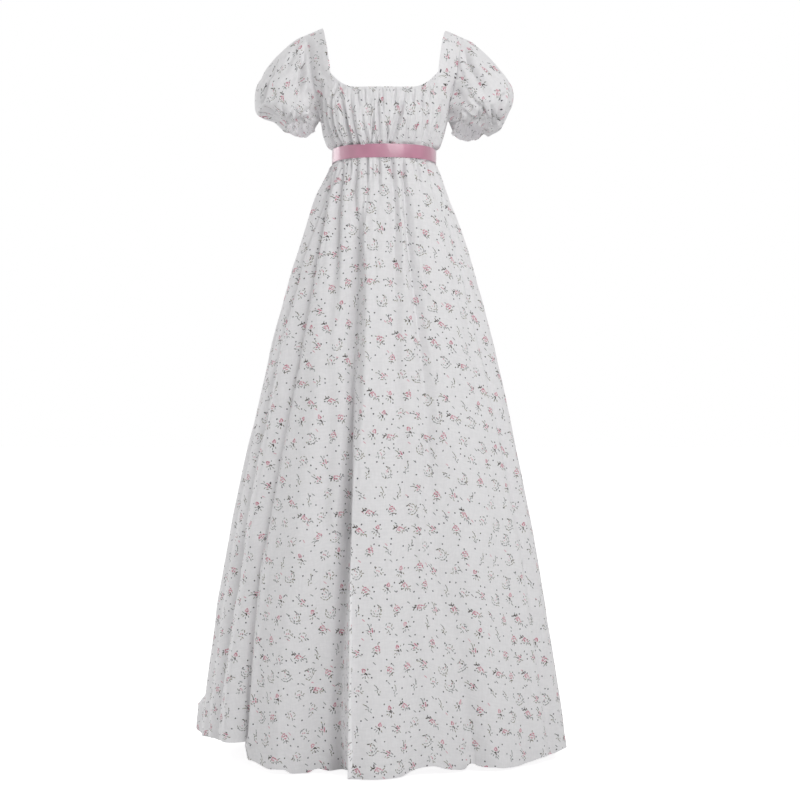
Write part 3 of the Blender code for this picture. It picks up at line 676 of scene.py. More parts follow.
def rise_from_ribbon(distance):
    """The gathers' share of their depth at a distance from the waist seam."""
    freed = risen(distance, HELD_BY_RIBBON, GATHER_RISE)
    return GATHER_AT_RIBBON + (1 - GATHER_AT_RIBBON) * freed


def seam_dip(distance):
    """The cloth dips into a seam."""
    return -SEAM_GROOVE * fading(distance, SEAM_GROOVE_WIDTH)


def hem_relief(above):
    """The turned-up hem is a little thicker, and its row of stitches pulls in a groove."""
    folded = HEM_THICKNESS * smooth((HEM_FOLD + 0.001 - above) / 0.002)
    return folded - STITCH_GROOVE * fading(above - HEM_FOLD, STITCH_GROOVE_WIDTH)


def travelled(points, axis=0):
    """The length of lines of points so far, from 0 at their start."""
    steps = np.linalg.norm(np.diff(points, axis=axis), axis=-1)
    start = np.zeros_like(np.take(steps, [0], axis))
    return np.concatenate([start, np.cumsum(steps, axis)], axis)


# ---------------------------------------------------------------- meshes
def grid(rows, columns):
    """Point numbers in rows and columns."""
    return np.arange(rows * columns).reshape(rows, columns)


def grid_quads(index):
    """Faces of a grid of point numbers, rows going down."""
    quads = np.stack([index[:-1, :-1], index[:-1, 1:], index[1:, 1:], index[1:, :-1]], axis=-1)
    return quads.reshape(-1, 4)


def placed(name, data):
    made = bpy.data.objects.new(name, data)
    bpy.context.scene.collection.objects.link(made)
    return made


def add_object(name, points, faces, materials):
    data = bpy.data.meshes.new(name)
    data.from_pydata(points.tolist(), [], faces)
    for material in materials:
        data.materials.append(material)
    data.shade_smooth()
    return placed(name, data)


def unit(vectors):
    return vectors / np.maximum(np.linalg.norm(vectors, axis=-1, keepdims=True), 1e-12)


def point_normals(points, faces):
    corners = points[faces]
    area = np.cross(corners[:, 2] - corners[:, 0], corners[:, 3] - corners[:, 1])
    normals = np.zeros_like(points)
    for corner in range(4):
        np.add.at(normals, faces[:, corner], area)
    return normals


def cloth_shell(name, points, faces, corner_uv, wall, materials, level=(), seam=()):
    """One closed wall of cloth: its outer face, its inner face one wall in, and its rims. Points
    in level keep their height and points in seam keep to the side seam's plane."""
    normals = point_normals(points, faces)
    normals[list(level), 2] = 0
    normals[list(seam), 1] = 0
    normals = unit(normals)
    count = len(points)
    inner = points - wall * normals
    starts = faces.ravel()
    ends = np.roll(faces, -1, axis=1).ravel()
    rim = ~np.isin(starts * count + ends, ends * count + starts)
    start, end = starts[rim], ends[rim]
    rims = np.stack([end, start, start + count, end + count], axis=1)
    uv_start = corner_uv.reshape(-1, 2)[rim]
    uv_end = np.roll(corner_uv, -1, axis=1).reshape(-1, 2)[rim]
    everything = np.concatenate([faces, faces[:, ::-1] + count, rims])
    rim_uv = np.stack([uv_end, uv_start, uv_start, uv_end], axis=1)
    uvs = np.concatenate([corner_uv, corner_uv[:, ::-1], rim_uv])
    slots = np.zeros(len(everything), np.int32)
    slots[len(faces):2 * len(faces)] = 1
    made = add_object(name, np.concatenate([points, inner]), everything.tolist(), materials)
    made.data.polygons.foreach_set("material_index", slots)
    layer = made.data.uv_layers.new(name="cloth")
    layer.uv.foreach_set("vector", uvs.astype(np.float32).ravel())
    made.data.set_sharp_from_angle(angle=math.radians(SHARP_ANGLE))
    return made, normals


def tube(name, points, u, v, wall, materials, level_rows=(), turned=False):
    """A closed wall of cloth whose rows run all the way round."""
    rows, count = points.shape[:2]
    index = grid(rows, count)
    faces = grid_quads(np.concatenate([index, index[:, :1]], axis=1))
    places = np.stack(np.broadcast_arrays(u[None, :], v[:, None]), axis=-1)
    corner_uv = places.reshape(-1, 2)[grid_quads(grid(rows, count + 1))]
    if turned:
        faces, corner_uv = faces[:, ::-1], corner_uv[:, ::-1]
    level = index[list(level_rows)].ravel()
    return cloth_shell(name, points.reshape(-1, 3), faces, corner_uv, wall, materials, level)


def stitches(name, path, normals, material):
    """A row of running stitches along a line on the cloth: short threads, proud in the middle."""
    length = travelled(path)
    pitch = STITCH_LENGTH + STITCH_SPACE
    starts = np.arange(pitch, length[-1] - pitch, pitch)
    at = starts[:, None] + STITCH_SHARES[None, :] * STITCH_LENGTH

    def sample(values):
        return np.stack([np.interp(at, length, values[:, k]) for k in range(3)], axis=-1)

    out = unit(sample(normals))
    middle = sample(path) + STITCH_PROUD[None, :, None] * out
    ahead = unit(np.gradient(middle, axis=1))
    across = unit(np.cross(ahead, out))
    turn = (2 * np.pi * np.arange(THREAD_SIDES) / THREAD_SIDES)[:, None]
    ring = np.cos(turn) * across[:, :, None, :] + np.sin(turn) * out[:, :, None, :]
    points = middle[:, :, None, :] + STITCH_WIDTH[None, :, None, None] * ring
    index = np.arange(points[..., 0].size).reshape(points.shape[:3])
    following = np.roll(index, -1, axis=2)
    walls = np.stack([index[:, :-1], following[:, :-1], following[:, 1:], index[:, 1:]], axis=-1)
    faces = walls.reshape(-1, 4).tolist()
    faces += index[:, 0, ::-1].tolist() + index[:, -1].tolist()
    made = add_object(name, points.reshape(-1, 3), faces, [material])
    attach(made, "root")


def declare(piece, node):
    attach(piece, "root")
    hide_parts(node)


# ---------------------------------------------------------------- materials
class Nodes:
    """A short way to write a material's nodes: each call adds one and returns its output."""

    def __init__(self, tree):
        self.tree = tree

    def feed(self, made, inputs):
        """Link or set inputs of a node."""
        for key, value in dict(inputs).items():
            if isinstance(value, bpy.types.NodeSocket):
                self.tree.links.new(value, made.inputs[key])
            else:
                made.inputs[key].default_value = value

    def new(self, kind, inputs=(), **settings):
        made = self.tree.nodes.new("ShaderNode" + kind)
        for key, value in settings.items():
            setattr(made, key, value)
        self.feed(made, inputs)
        return made

    def node(self, kind, inputs=(), output=0, **settings):
        return self.new(kind, inputs, **settings).outputs[output]

    def parts(self, value, kind="XYZ"):
        return self.new("Separate" + kind, {0: value}).outputs

    def maths(self, operation, a, b=0.0, c=0.0):
        return self.node("Math", {0: a, 1: b, 2: c}, operation=operation)

    def vector(self, operation, a, b=(0, 0, 0)):
        return self.node("VectorMath", {0: a, 1: b}, operation=operation)

    def length(self, a):
        return self.node("VectorMath", {0: a}, output=1, operation="LENGTH")

    def mix(self, share, a, b):
        return self.node("Mix", {0: share, 6: a, 7: b}, output=2, data_type="RGBA")

    def ramp(self, value, low, high, to_low=0.0, to_high=1.0):
        inputs = {0: value, 1: low, 2: high, 3: to_low, 4: to_high}
        return self.node("MapRange", inputs, interpolation_type="SMOOTHSTEP")

    def noise(self, place, scale, detail, output=0):
        return self.node("TexNoise", {"Vector": place, "Scale": scale, "Detail": detail}, output)

    def patches(self, place, noise, to_low=0.0, to_high=1.0):
        """Noise in soft-edged patches."""
        made = self.noise(place, noise.scale, noise.detail)
        return self.ramp(made, noise.low, noise.high, to_low, to_high)

    def random(self, cell):
        return self.node("TexWhiteNoise", {0: cell}, output=1, noise_dimensions="2D")

    def bump(self, height, strength, distance):
        return self.node("Bump", {"Strength": strength, "Distance": distance, "Height": height})

    def ellipse(self, place, middle, turn, radii):
        """How far places are from an ellipse's middle: 1 on its edge."""
        inputs = {0: place, 1: (*middle, 0), 2: (0, 0, turn), 3: (*radii, 1)}
        return self.length(self.node("Mapping", inputs, vector_type="TEXTURE"))


# The print: strokes of each motif in millimetres from its middle, with length, width and turn in
# degrees. The motifs are of the builder's own drawing in the manner of small rosebud prints.
MOTIFS = 7
ROSE, SPRAY, SCROLL, BUD, BLOOM, FAN, TWIG = range(MOTIFS)
Stroke = namedtuple("Stroke", "motif x y length width turn")


def strokes(motifs):
    return tuple(Stroke(motif, *row) for motif, rows in motifs.items() for row in rows)


PINK_STROKES = strokes({
    ROSE: (
        (-4.4, 2.6, 5.6, 1.9, 64), (4.2, 3.0, 5.4, 1.9, -60), (0.2, 6.6, 5.8, 1.8, 5),
        (-0.4, -1.4, 5.6, 1.9, -10), (-1.4, 3.6, 3.0, 1.6, 40), (2.0, 1.8, 3.0, 1.6, -35),
    ),
    SPRAY: (
        (-2.6, 0.6, 5.0, 1.9, 42), (1.8, 3.0, 5.4, 1.9, 20), (5.4, 0.4, 5.4, 1.9, -48),
        (1.8, -2.2, 5.4, 1.8, 10), (-6.4, -2.2, 3.4, 1.5, 30), (2.6, 0.4, 2.4, 1.5, 70),
    ),
    BUD: (
        (-1.6, 6.0, 6.2, 2.0, 68), (2.4, 6.0, 6.0, 2.0, -66), (0.4, 9.0, 3.8, 1.6, 0),
        (0.4, 3.4, 3.2, 1.6, 10),
    ),
    BLOOM: ((-2.8, -1.0, 6.4, 2.1, 58), (1.6, -3.4, 4.6, 1.8, -30), (-0.6, 3.0, 3.8, 1.7, 20)),
    SCROLL: ((0.4, 5.2, 2.6, 1.2, 62), (1.8, -1.2, 2.4, 1.0, 20)),
    FAN: ((-0.6, 0.8, 3.6, 1.4, 55), (2.4, 2.8, 3.0, 1.3, -30)),
})
DARK_STROKES = strokes({
    ROSE: ((-1.8, -5.4, 3.2, 1.6, 30), (3.8, -3.0, 2.6, 1.4, -50), (0.4, 2.6, 2.0, 1.2, 80)),
    SPRAY: (
        (9.2, 4.0, 6.2, 2.3, 12), (12.4, 2.2, 5.2, 2.0, -28), (6.6, 6.2, 4.4, 1.9, 40),
        (7.6, -2.2, 3.0, 1.6, -52),
    ),
    BUD: ((0.2, -1.6, 6.4, 2.3, 78), (2.6, -0.2, 3.4, 1.7, 40)),
    BLOOM: ((-5.8, 0.4, 4.2, 1.9, 70), (2.4, 0.8, 4.8, 1.9, 38), (-1.4, -5.6, 3.0, 1.7, 10)),
    SCROLL: ((3.4, 9.4, 4.6, 1.7, 12), (-2.6, 8.8, 3.4, 1.5, 52)),
    TWIG: ((0.4, 5.0, 3.4, 1.4, 66),),
})
LEAF_STROKES = strokes({
    ROSE: (
        (-0.6, -7.4, 6.4, 1.3, 72), (3.2, -7.0, 5.4, 1.3, -40), (-4.4, -5.2, 5.0, 1.3, 24),
        (6.4, -1.2, 4.4, 1.2, -72), (3.6, 9.2, 4.0, 1.2, 50), (-7.4, -0.6, 3.6, 1.2, 80),
    ),
    SPRAY: (
        (-6.4, -5.6, 6.0, 1.3, 38), (-10.8, -5.0, 6.0, 1.3, 8), (-9.4, -0.6, 5.6, 1.3, -28),
        (-3.6, -7.0, 5.4, 1.3, 76), (1.4, -6.0, 5.2, 1.3, -50), (-13.2, -7.4, 4.0, 1.2, 50),
        (12.0, 6.4, 4.6, 1.3, 62), (4.8, -5.8, 3.6, 1.2, 20),
    ),
    SCROLL: (
        (-8.6, -2.0, 5.2, 1.3, -48), (-9.4, -6.2, 4.8, 1.2, 22), (-4.8, -8.6, 5.6, 1.3, -36),
        (0.6, -10.6, 5.4, 1.3, -20), (5.8, -9.4, 5.2, 1.3, 30), (9.2, -4.6, 4.4, 1.2, 62),
        (-6.0, 4.6, 5.0, 1.3, 64), (0.4, 8.2, 4.8, 1.3, 84), (-2.0, 1.6, 4.4, 1.2, 70),
    ),
    BUD: (
        (6.6, 1.8, 5.0, 1.2, 36), (5.0, -5.0, 5.6, 1.3, -58), (-4.2, -5.2, 5.0, 1.3, 58),
        (0.8, -8.2, 4.8, 1.2, 84), (8.4, -3.2, 4.0, 1.2, -14), (-6.6, 3.6, 3.4, 1.2, -40),
    ),
    BLOOM: (
        (5.6, 4.6, 6.4, 1.3, 42), (9.0, 7.0, 4.2, 1.2, 18), (3.6, 8.0, 4.8, 1.3, 70),
        (3.0, -7.4, 6.0, 1.3, 20), (-3.4, -9.0, 4.6, 1.2, 48), (6.8, -3.4, 4.4, 1.2, -22),
    ),
    FAN: (
        (-5.8, 2.6, 5.8, 1.2, -58), (6.4, 0.4, 5.6, 1.2, 50), (-3.2, 7.4, 5.0, 1.2, 20),
        (3.8, 7.6, 4.6, 1.2, -48), (-3.6, -4.0, 5.8, 1.3, 66), (2.8, -5.2, 5.6, 1.3, 82),
        (6.6, -6.2, 3.8, 1.2, -30), (-7.0, -3.2, 3.6, 1.2, 8),
    ),
    TWIG: (
        (-0.6, -8.6, 5.4, 1.2, 70), (1.0, -3.6, 5.8, 1.2, 108), (-0.8, 1.4, 5.6, 1.2, 66),
        (2.4, 8.0, 5.0, 1.2, 52), (3.4, -0.6, 4.0, 1.2, 20), (-3.8, -5.2, 3.8, 1.2, -26),
    ),
})
MILLIMETRE = 0.001
INK_EDGE = 0.22
STROKES_AT_ONCE = 18
NEXT_TO_NOTHING = 1e-9
PINK_BOLDNESS = 1.28
DARK_BOLDNESS = 1.10
LEAF_BOLDNESS = 1.18
# How far apart the motifs lie in the atlas that they are drawn in
ATLAS_STEP = 0.050
# The scroll's ring: its middle, radius and line, and the gap in it
SCROLL_MIDDLE = (SCROLL * ATLAS_STEP, 0.0004, 0)
SCROLL_RADIUS = 0.0068
SCROLL_LINE, SCROLL_LINE_EDGE = 0.00060, 0.3
SCROLL_GAP = (0.0060, 0.0040, 0)
SCROLL_GAP_EDGE = (0.0048, 0.0060)
# How motifs lie on the cloth: in bricks of a pitch, each moved, tilted and enlarged
MOTIF_SIZE = 1.12
MOTIF_PITCH = (0.0415, 0.0385)
MOTIF_JITTER = 0.013
MOTIF_JITTER_UP = 0.8
MOTIF_TILT = 1.3
OTHER_RANDOM = (37.4, 11.2, 0)
SCATTER_RANDOM = 0.75
DOT_PITCH, DOT_SEED = 0.0235, 5.21
DOT_RADIUS, DOT_EDGE = 0.00150, 0.25
DASH_PITCH, DASH_SEED = 0.047, 0.37
DASH_RADII = (0.0039, 0.0009)
DASH_TURN = 0.7
GREY_DASHES = 0.68
GROUND = (0.812, 0.805, 0.816, 1)
PINK = (0.67, 0.37, 0.43, 1)
ROSE_RED = (0.50, 0.16, 0.22, 1)
DARK_LEAF = (0.055, 0.044, 0.036, 1)
GREY_LEAF = (0.21, 0.22, 0.22, 1)
OLIVE_LEAF = (0.21, 0.195, 0.13, 1)
DOT_GREY = (0.065, 0.06, 0.075, 1)
GROUND_LOW = 0.975
SLUB_GRAIN = (55.0, 250.0)
SLUB_LOW, SLUB_HIGH = 0.955, 1.030
SLUB_SHARE = 0.75
WEFT_OFFSET = 7.7
# Noise: its scale and detail, and for patches the values at their soft edges
Noise = namedtuple("Noise", "scale detail low high")
SCROLL_BREAKS = Noise(330.0, 0.0, 0.42, 0.52)
INK_WEAR, WORN_INK = Noise(260.0, 2.0, 0.28, 0.50), 0.60
PINK_SHADES = Noise(190.0, 0.0, 0.40, 0.62)
LEAF_HUES = Noise(75.0, 0.0, 0.45, 0.60)
SATIN_CLOUDS = Noise(24.0, 1.0, 0.35, 0.65)
INK_WANDER, INK_WANDERS_BY = (420.0, 1.0), 0.0016
CLOTH_TONES = (7.0, 3.0)
SLUB_EDGES = (0.72, 1.28)
# The wrong side: how strong its print is, and how strongly it glows in its own colours, a painted
# glow that stands in for the studio's light coming through the thin cloth
WRONG_SIDE_INK = 0.8
PAINTED_GLOW_THROUGH = 0.14


def soft(edge, share):
    """Both ends of an edge of ink that fades over a share on each side of it."""
    return edge * (1 + share), edge * (1 - share)


def stroke_mask(nodes, place, drawn, boldness):
    """1 inside any of the strokes, each an ellipse at its motif's place along the atlas. A shader
    holds only so many values at once, so each group of strokes starts from a place that waits for
    the group before it; the place is returned for the next mask."""
    nearest = None
    for number, stroke in enumerate(drawn):
        if number % STROKES_AT_ONCE == 0 and nearest is not None:
            place = waits(nodes, place, nearest)
        middle = (stroke.x * MILLIMETRE + stroke.motif * ATLAS_STEP, stroke.y * MILLIMETRE)
        radii = (stroke.length * MILLIMETRE / 2, stroke.width * boldness * MILLIMETRE / 2)
        away = nodes.ellipse(place, middle, math.radians(stroke.turn), radii)
        nearest = away if nearest is None else nodes.maths("MINIMUM", nearest, away)
    place = waits(nodes, place, nearest)
    return nodes.ramp(nearest, *soft(1, INK_EDGE)), place


def waits(nodes, place, value):
    """The same place, to be worked out only after a value."""
    return nodes.vector("ADD", place, nodes.maths("MULTIPLY", value, NEXT_TO_NOTHING))


def scroll_mask(nodes, place):
    """The open ring of the scroll motif."""
    local = nodes.vector("SUBTRACT", place, SCROLL_MIDDLE)
    off_line = nodes.maths("ABSOLUTE", nodes.maths("SUBTRACT", nodes.length(local), SCROLL_RADIUS))
    line = nodes.ramp(off_line, *soft(SCROLL_LINE, SCROLL_LINE_EDGE))
    line = nodes.maths("MULTIPLY", line, nodes.patches(place, SCROLL_BREAKS))
    gap = nodes.length(nodes.vector("SUBTRACT", local, SCROLL_GAP))
    return nodes.maths("MULTIPLY", line, nodes.ramp(gap, *SCROLL_GAP_EDGE))


def motif_place(nodes, uv):
    """Where a point lies in the atlas of motifs: cells in brick rows, each with its own motif,
    shift and tilt."""
    parts = nodes.parts(nodes.vector("DIVIDE", uv, (*MOTIF_PITCH, 1)))
    row = nodes.maths("FLOOR", parts[1])
    shift = nodes.maths("MULTIPLY", nodes.maths("PINGPONG", row, 1.0), 0.5)
    x = nodes.maths("ADD", parts[0], shift)
    shifted = nodes.node("CombineXYZ", {0: x, 1: parts[1]})
    cell = nodes.vector("FLOOR", shifted)
    within = nodes.vector("SUBTRACT", nodes.vector("FRACTION", shifted), (0.5, 0.5, 0))
    local = nodes.vector("MULTIPLY", within, (*MOTIF_PITCH, 0))
    jitter = nodes.vector("SUBTRACT", nodes.random(cell), (0.5, 0.5, 0.5))
    jitter = nodes.vector("MULTIPLY", jitter, (MOTIF_JITTER, MOTIF_JITTER * MOTIF_JITTER_UP, 0))
    local = nodes.vector("SUBTRACT", local, jitter)
    other = nodes.vector("ADD", cell, OTHER_RANDOM)
    randoms = nodes.parts(nodes.random(other), "Color")
    tilt = nodes.maths("MULTIPLY", nodes.maths("SUBTRACT", randoms[0], 0.5), MOTIF_TILT)
    inputs = {"Vector": local, "Angle": tilt}
    turned = nodes.node("VectorRotate", inputs, rotation_type="Z_AXIS")
    turned = nodes.vector("MULTIPLY", turned, (1 / MOTIF_SIZE, 1 / MOTIF_SIZE, 0))
    kind = nodes.maths("FLOOR", nodes.maths("MULTIPLY", randoms[1], MOTIFS))
    along_atlas = nodes.node("CombineXYZ", {0: nodes.maths("MULTIPLY", kind, ATLAS_STEP)})
    return nodes.vector("ADD", turned, along_atlas)


def scattered(nodes, uv, pitch, seed):
    """A point's place from the nearest of a scatter of middles, and that middle's own colour."""
    moved = nodes.vector("ADD", uv, (seed, seed * 1.7, 0))
    inputs = {"Vector": moved, "Scale": 1 / pitch, "Randomness": SCATTER_RANDOM}
    texture = nodes.new("TexVoronoi", inputs, voronoi_dimensions="2D")
    middle = nodes.vector("SUBTRACT", moved, texture.outputs["Position"])
    return middle, texture.outputs["Color"]


def slubs(nodes, uv):
    """Thick and thin threads both ways: streaks of slightly uneven white."""
    grain = []
    for across, offset in ((SLUB_GRAIN, 0.0), (SLUB_GRAIN[::-1], WEFT_OFFSET)):
        stretched = nodes.vector("MULTIPLY", uv, (*across, 1))
        grain.append(nodes.noise(nodes.vector("ADD", stretched, (offset, offset, 0)), 1.0, 2.0))
    return nodes.ramp(nodes.maths("ADD", *grain), *SLUB_EDGES)


def shade(colour, share):
    return (*(share * part for part in colour[:3]), 1)


def ground_colour(nodes, uv):
    """The white of the cotton, slightly uneven in large clouds and along its threads."""
    tone = nodes.noise(uv, *CLOTH_TONES)
    ground = nodes.mix(tone, shade(GROUND, GROUND_LOW), GROUND)
    uneven = nodes.mix(slubs(nodes, uv), shade(GROUND, SLUB_LOW), shade(GROUND, SLUB_HIGH))
    return nodes.mix(SLUB_SHARE, ground, uneven)


def printed(nodes, uv, strength):
    """The cloth's colour: the white ground with motifs, dashes and dots in their inks."""
    wander = nodes.vector("SUBTRACT", nodes.noise(uv, *INK_WANDER, 1), (0.5, 0.5, 0.5))
    uv = nodes.vector("ADD", uv, nodes.vector("MULTIPLY", wander, (INK_WANDERS_BY, INK_WANDERS_BY, 0)))
    place = motif_place(nodes, uv)
    ink = nodes.patches(uv, INK_WEAR, WORN_INK * strength, strength)

    leaf, place = stroke_mask(nodes, place, LEAF_STROKES, LEAF_BOLDNESS)
    dark, place = stroke_mask(nodes, place, DARK_STROKES, DARK_BOLDNESS)
    pink, place = stroke_mask(nodes, place, PINK_STROKES, PINK_BOLDNESS)
    leaf = nodes.maths("MAXIMUM", leaf, scroll_mask(nodes, place))

    local, chance = scattered(nodes, uv, DASH_PITCH, DASH_SEED)
    away = nodes.ellipse(local, (0, 0), DASH_TURN, DASH_RADII)
    dash = nodes.ramp(away, *soft(1, INK_EDGE))
    pink_dash = nodes.maths("GREATER_THAN", nodes.parts(chance, "Color")[0], GREY_DASHES)
    dash_colour = nodes.mix(pink_dash, GREY_LEAF, PINK)

    local, _ = scattered(nodes, uv, DOT_PITCH, DOT_SEED)
    dot = nodes.ramp(nodes.length(local), *soft(DOT_RADIUS, DOT_EDGE))

    rose = nodes.mix(nodes.patches(uv, PINK_SHADES), PINK, ROSE_RED)
    green = nodes.mix(nodes.patches(uv, LEAF_HUES), GREY_LEAF, OLIVE_LEAF)
    colour = ground_colour(nodes, uv)
    inks = ((dash, dash_colour), (dot, DOT_GREY), (leaf, green), (pink, rose), (dark, DARK_LEAF))
    for mask, own in inks:
        colour = nodes.mix(nodes.maths("MULTIPLY", mask, ink), colour, own)
    return colour


THREAD_PITCH = 0.00062
THREAD_UNEVEN, THREAD_RELIEF = (900.0, 2.0), 0.9
CREPE, CREPE_RELIEF = (240.0, 2.0), 1.2
CROSSING_RELIEF = 0.35
# Bumps are a strength and a distance; roughness runs between two values of a relief
COTTON_BUMP, COTTON_ROUGHNESS = (0.35, 0.00025), (0.2, 1.8, 0.92, 0.80)
COTTON_FINISH = {"Sheen Weight": 0.12, "Sheen Roughness": 0.5, "Specular IOR Level": 0.25}


def weave(nodes, uv):
    """Plain weave: two sets of threads over and under each other, with uneven thick places."""
    scaled = nodes.vector("SCALE", uv)
    scaled.node.inputs["Scale"].default_value = math.pi / THREAD_PITCH
    parts = nodes.parts(scaled)
    warp = nodes.maths("SINE", parts[0])
    weft = nodes.maths("SINE", parts[1])
    crossed = nodes.maths("MULTIPLY", warp, weft)
    thick = nodes.noise(uv, *THREAD_UNEVEN)
    crepe = nodes.noise(uv, *CREPE)
    crepe = nodes.maths("MULTIPLY", crepe, CREPE_RELIEF)
    rough = nodes.maths("MULTIPLY_ADD", thick, THREAD_RELIEF, crepe)
    return nodes.maths("MULTIPLY_ADD", crossed, CROSSING_RELIEF, rough)


def new_material(name):
    made = bpy.data.materials.new(name)
    made.use_nodes = True
    return made, Nodes(made.node_tree), made.node_tree.nodes["Principled BSDF"]


def printed_cotton(name, strength, through):
    """Matt cotton with the print at a strength: 1 on the right side and a little less on the wrong
    one. Where a glow is given, the cloth glows in its own colours: painted light that stands in for
    the studio's light coming through the thin cloth to its wrong side."""
    made, nodes, shader = new_material(name)
    uv = nodes.node("UVMap", uv_map="cloth")
    colour = printed(nodes, uv, strength)
    nodes.feed(shader, {"Base Color": colour})
    if through:
        # Painted light: the cloth glows in its own colours, standing in for light through the thin
        # cloth
        nodes.feed(shader, {"Emission Color": colour, "Emission Strength": through})
    height = weave(nodes, uv)
    nodes.feed(shader, {
        "Normal": nodes.bump(height, *COTTON_BUMP),
        "Roughness": nodes.ramp(height, *COTTON_ROUGHNESS),
        **COTTON_FINISH,
    })
    return made


SATIN = (0.55, 0.215, 0.325, 1)
SATIN_DEEP = (0.48, 0.18, 0.275, 1)
RIB_PITCH = 0.0004
SATIN_THREADS = (60.0, 2600.0, 1)
SELVEDGE = (RIBBON_HEIGHT / 2 - 0.0022, RIBBON_HEIGHT / 2 - 0.0012)
SELVEDGE_SHADE, SELVEDGE_RELIEF, RIB_RELIEF = 0.5, 0.8, 0.12
SATIN_BUMP, SATIN_ROUGHNESS = (0.25, 0.0002), (0.3, 0.7, 0.30, 0.42)
SATIN_FINISH = {
    "Sheen Weight": 0.8, "Sheen Roughness": 0.30, "Specular IOR Level": 0.8, "Anisotropic": 0.6,
    "Coat Weight": 1.0, "Coat Roughness": 0.40, "Coat IOR": 1.7,
}


def pink_satin():
    """Satin ribbon: long smooth threads round the waist, fine ribs and denser selvedges."""
    made, nodes, shader = new_material("pink_satin_woven")
    uv = nodes.node("UVMap", uv_map="cloth")
    parts = nodes.parts(uv)
    threads = nodes.noise(nodes.vector("MULTIPLY", uv, SATIN_THREADS), 1.0, 2.0)
    selvedge = nodes.ramp(nodes.maths("ABSOLUTE", parts[1]), *SELVEDGE)
    colour = nodes.mix(nodes.patches(uv, SATIN_CLOUDS), SATIN, SATIN_DEEP)
    colour = nodes.mix(nodes.maths("MULTIPLY", selvedge, SELVEDGE_SHADE), colour, SATIN_DEEP)
    ribs = nodes.maths("SINE", nodes.maths("MULTIPLY", parts[0], 2 * math.pi / RIB_PITCH))
    height = nodes.maths("MULTIPLY_ADD", selvedge, SELVEDGE_RELIEF, threads)
    height = nodes.maths("MULTIPLY_ADD", ribs, RIB_RELIEF, height)
    nodes.feed(shader, {
        "Base Color": colour,
        "Normal": nodes.bump(height, *SATIN_BUMP),
        "Roughness": nodes.ramp(threads, *SATIN_ROUGHNESS),
        **SATIN_FINISH,
    })
    return made


THREAD_LOW, THREAD_HIGH = (0.66, 0.66, 0.67, 1), (0.82, 0.82, 0.83, 1)
THREAD_TWIST = (3000.0, 1.0)
THREAD_BUMP, THREAD_ROUGHNESS = (0.4, 0.0001), (0.3, 0.7, 0.45, 0.65)


def sewing_thread():
    made, nodes, shader = new_material("white_thread")
    twist = nodes.noise(nodes.node("TexCoord", output=3), *THREAD_TWIST)
    nodes.feed(shader, {
        "Base Color": nodes.mix(twist, THREAD_LOW, THREAD_HIGH),
        "Roughness": nodes.ramp(twist, *THREAD_ROUGHNESS),
        "Normal": nodes.bump(twist, *THREAD_BUMP),
    })
    return made


# ---------------------------------------------------------------- the skirt
def skirt_relief(degrees, drop, below):
    """How far the skirt's gathers, folds and sway stand out from its rings."""
    turns = SKIRT_GATHERS * degrees / 360
    freed = rise_from_ribbon(below)
    uneven = turns + rippled(SKIRT_GATHER_PLACES, turns)
    strength = SKIRT_GATHER_MEAN + rippled(SKIRT_GATHER_DEPTHS, turns)
    fade = fading(drop, *SKIRT_GATHER_FADE)
    out = SKIRT_GATHER_DEPTH * strength * freed * fade * gather(uneven, 1.1)
    begun = risen(below, RIBBON_HEIGHT / 2, FOLDS_BEGIN)
    out = out + folds_out(SKIRT_FOLDS, degrees, drop) * begun
    out = out + folds_out(SKIRT_CREASES, degrees, drop) * smooth(below / CREASES_BEGIN - 0.3)
    fine = hollows(2 * np.pi * (FINE_GATHERS * turns + rippled(FINE_GATHER_PLACES, turns)))
    depth = FINE_GATHER_DEPTH + rippled(FINE_GATHER_DEPTHS, turns)
    out = out - depth * fine * freed * fading(drop, *FINE_GATHER_FADE)
    sway = ripple(degrees / SKIRT_SWAY_DEGREES + rippled(SKIRT_SWAY_LEAN, drop), 1.7)
    return out + SKIRT_SWAY * sway * smooth(drop * 3)


def skirt_points(spec):
    """Points of one skirt panel, row by row from the waist seam to the hem. The rows lie closer
    together along the turned-up hem."""
    last = spec.first + 180
    degrees = np.linspace(spec.first, last, spec.columns + 1)[None, :]
    lift = along(*zip(*HEM_LIFTS), degrees)
    hem = HEM_Z + np.maximum(lift, 0) / 1000
    plain = np.linspace(0, 1, SKIRT_ROWS + 1) ** SKIRT_ROW_POWER
    folded = 1 - np.array(HEM_ROWS) / (SKIRT_TOP - HEM_Z)
    drop = np.concatenate([plain[plain < folded[0] - 0.004], folded, [1.0]])[:, None]
    z = SKIRT_TOP + drop * (hem - SKIRT_TOP)
    below = WAIST_Z - z
    out = skirt_relief(degrees, drop, below) + hem_relief(z - hem)
    curl = fading(degrees - HEM_CURL.angle, HEM_CURL.width)
    out = out + HEM_CURL.out * curl * smooth((HEM_CURL.start - z) / HEM_CURL.height)
    to_seam = np.minimum(degrees - spec.first, last - degrees) * np.radians(SKIRT_MEAN_RADIUS)
    out = out + seam_dip(to_seam) * risen(below, *SIDE_SEAM_FREE)
    section = ring_at(SKIRT_RINGS, z)
    free = risen(below, *CREASES_FREE)
    out = out + SKIRT_CREASE * free * creased(spec.lines, on_ring(section, degrees, out))
    points = on_ring(section, degrees, out)
    points[:, :, 0] += creased(spec.tucks, points)
    points[:, 0, 1] = points[:, -1, 1] = -spec.facing * SEAM_GAP / 2
    return points


def cone_uv(points):
    """Flat cloth places of a flared panel: an arc's length at each row, laid round a cone."""
    columns = points.shape[1] - 1
    arc = travelled(points, 1)
    arc -= arc[:, columns // 2][:, None]
    spread = (arc[-1, -1] - arc[-1, 0]) / 2
    down = travelled(points[:, columns // 4])
    radius = (spread / CONE_ANGLE - down[-1] + down)[:, None]
    turn = arc / radius
    return np.stack([radius * np.sin(turn), -radius * np.cos(turn)], axis=-1)


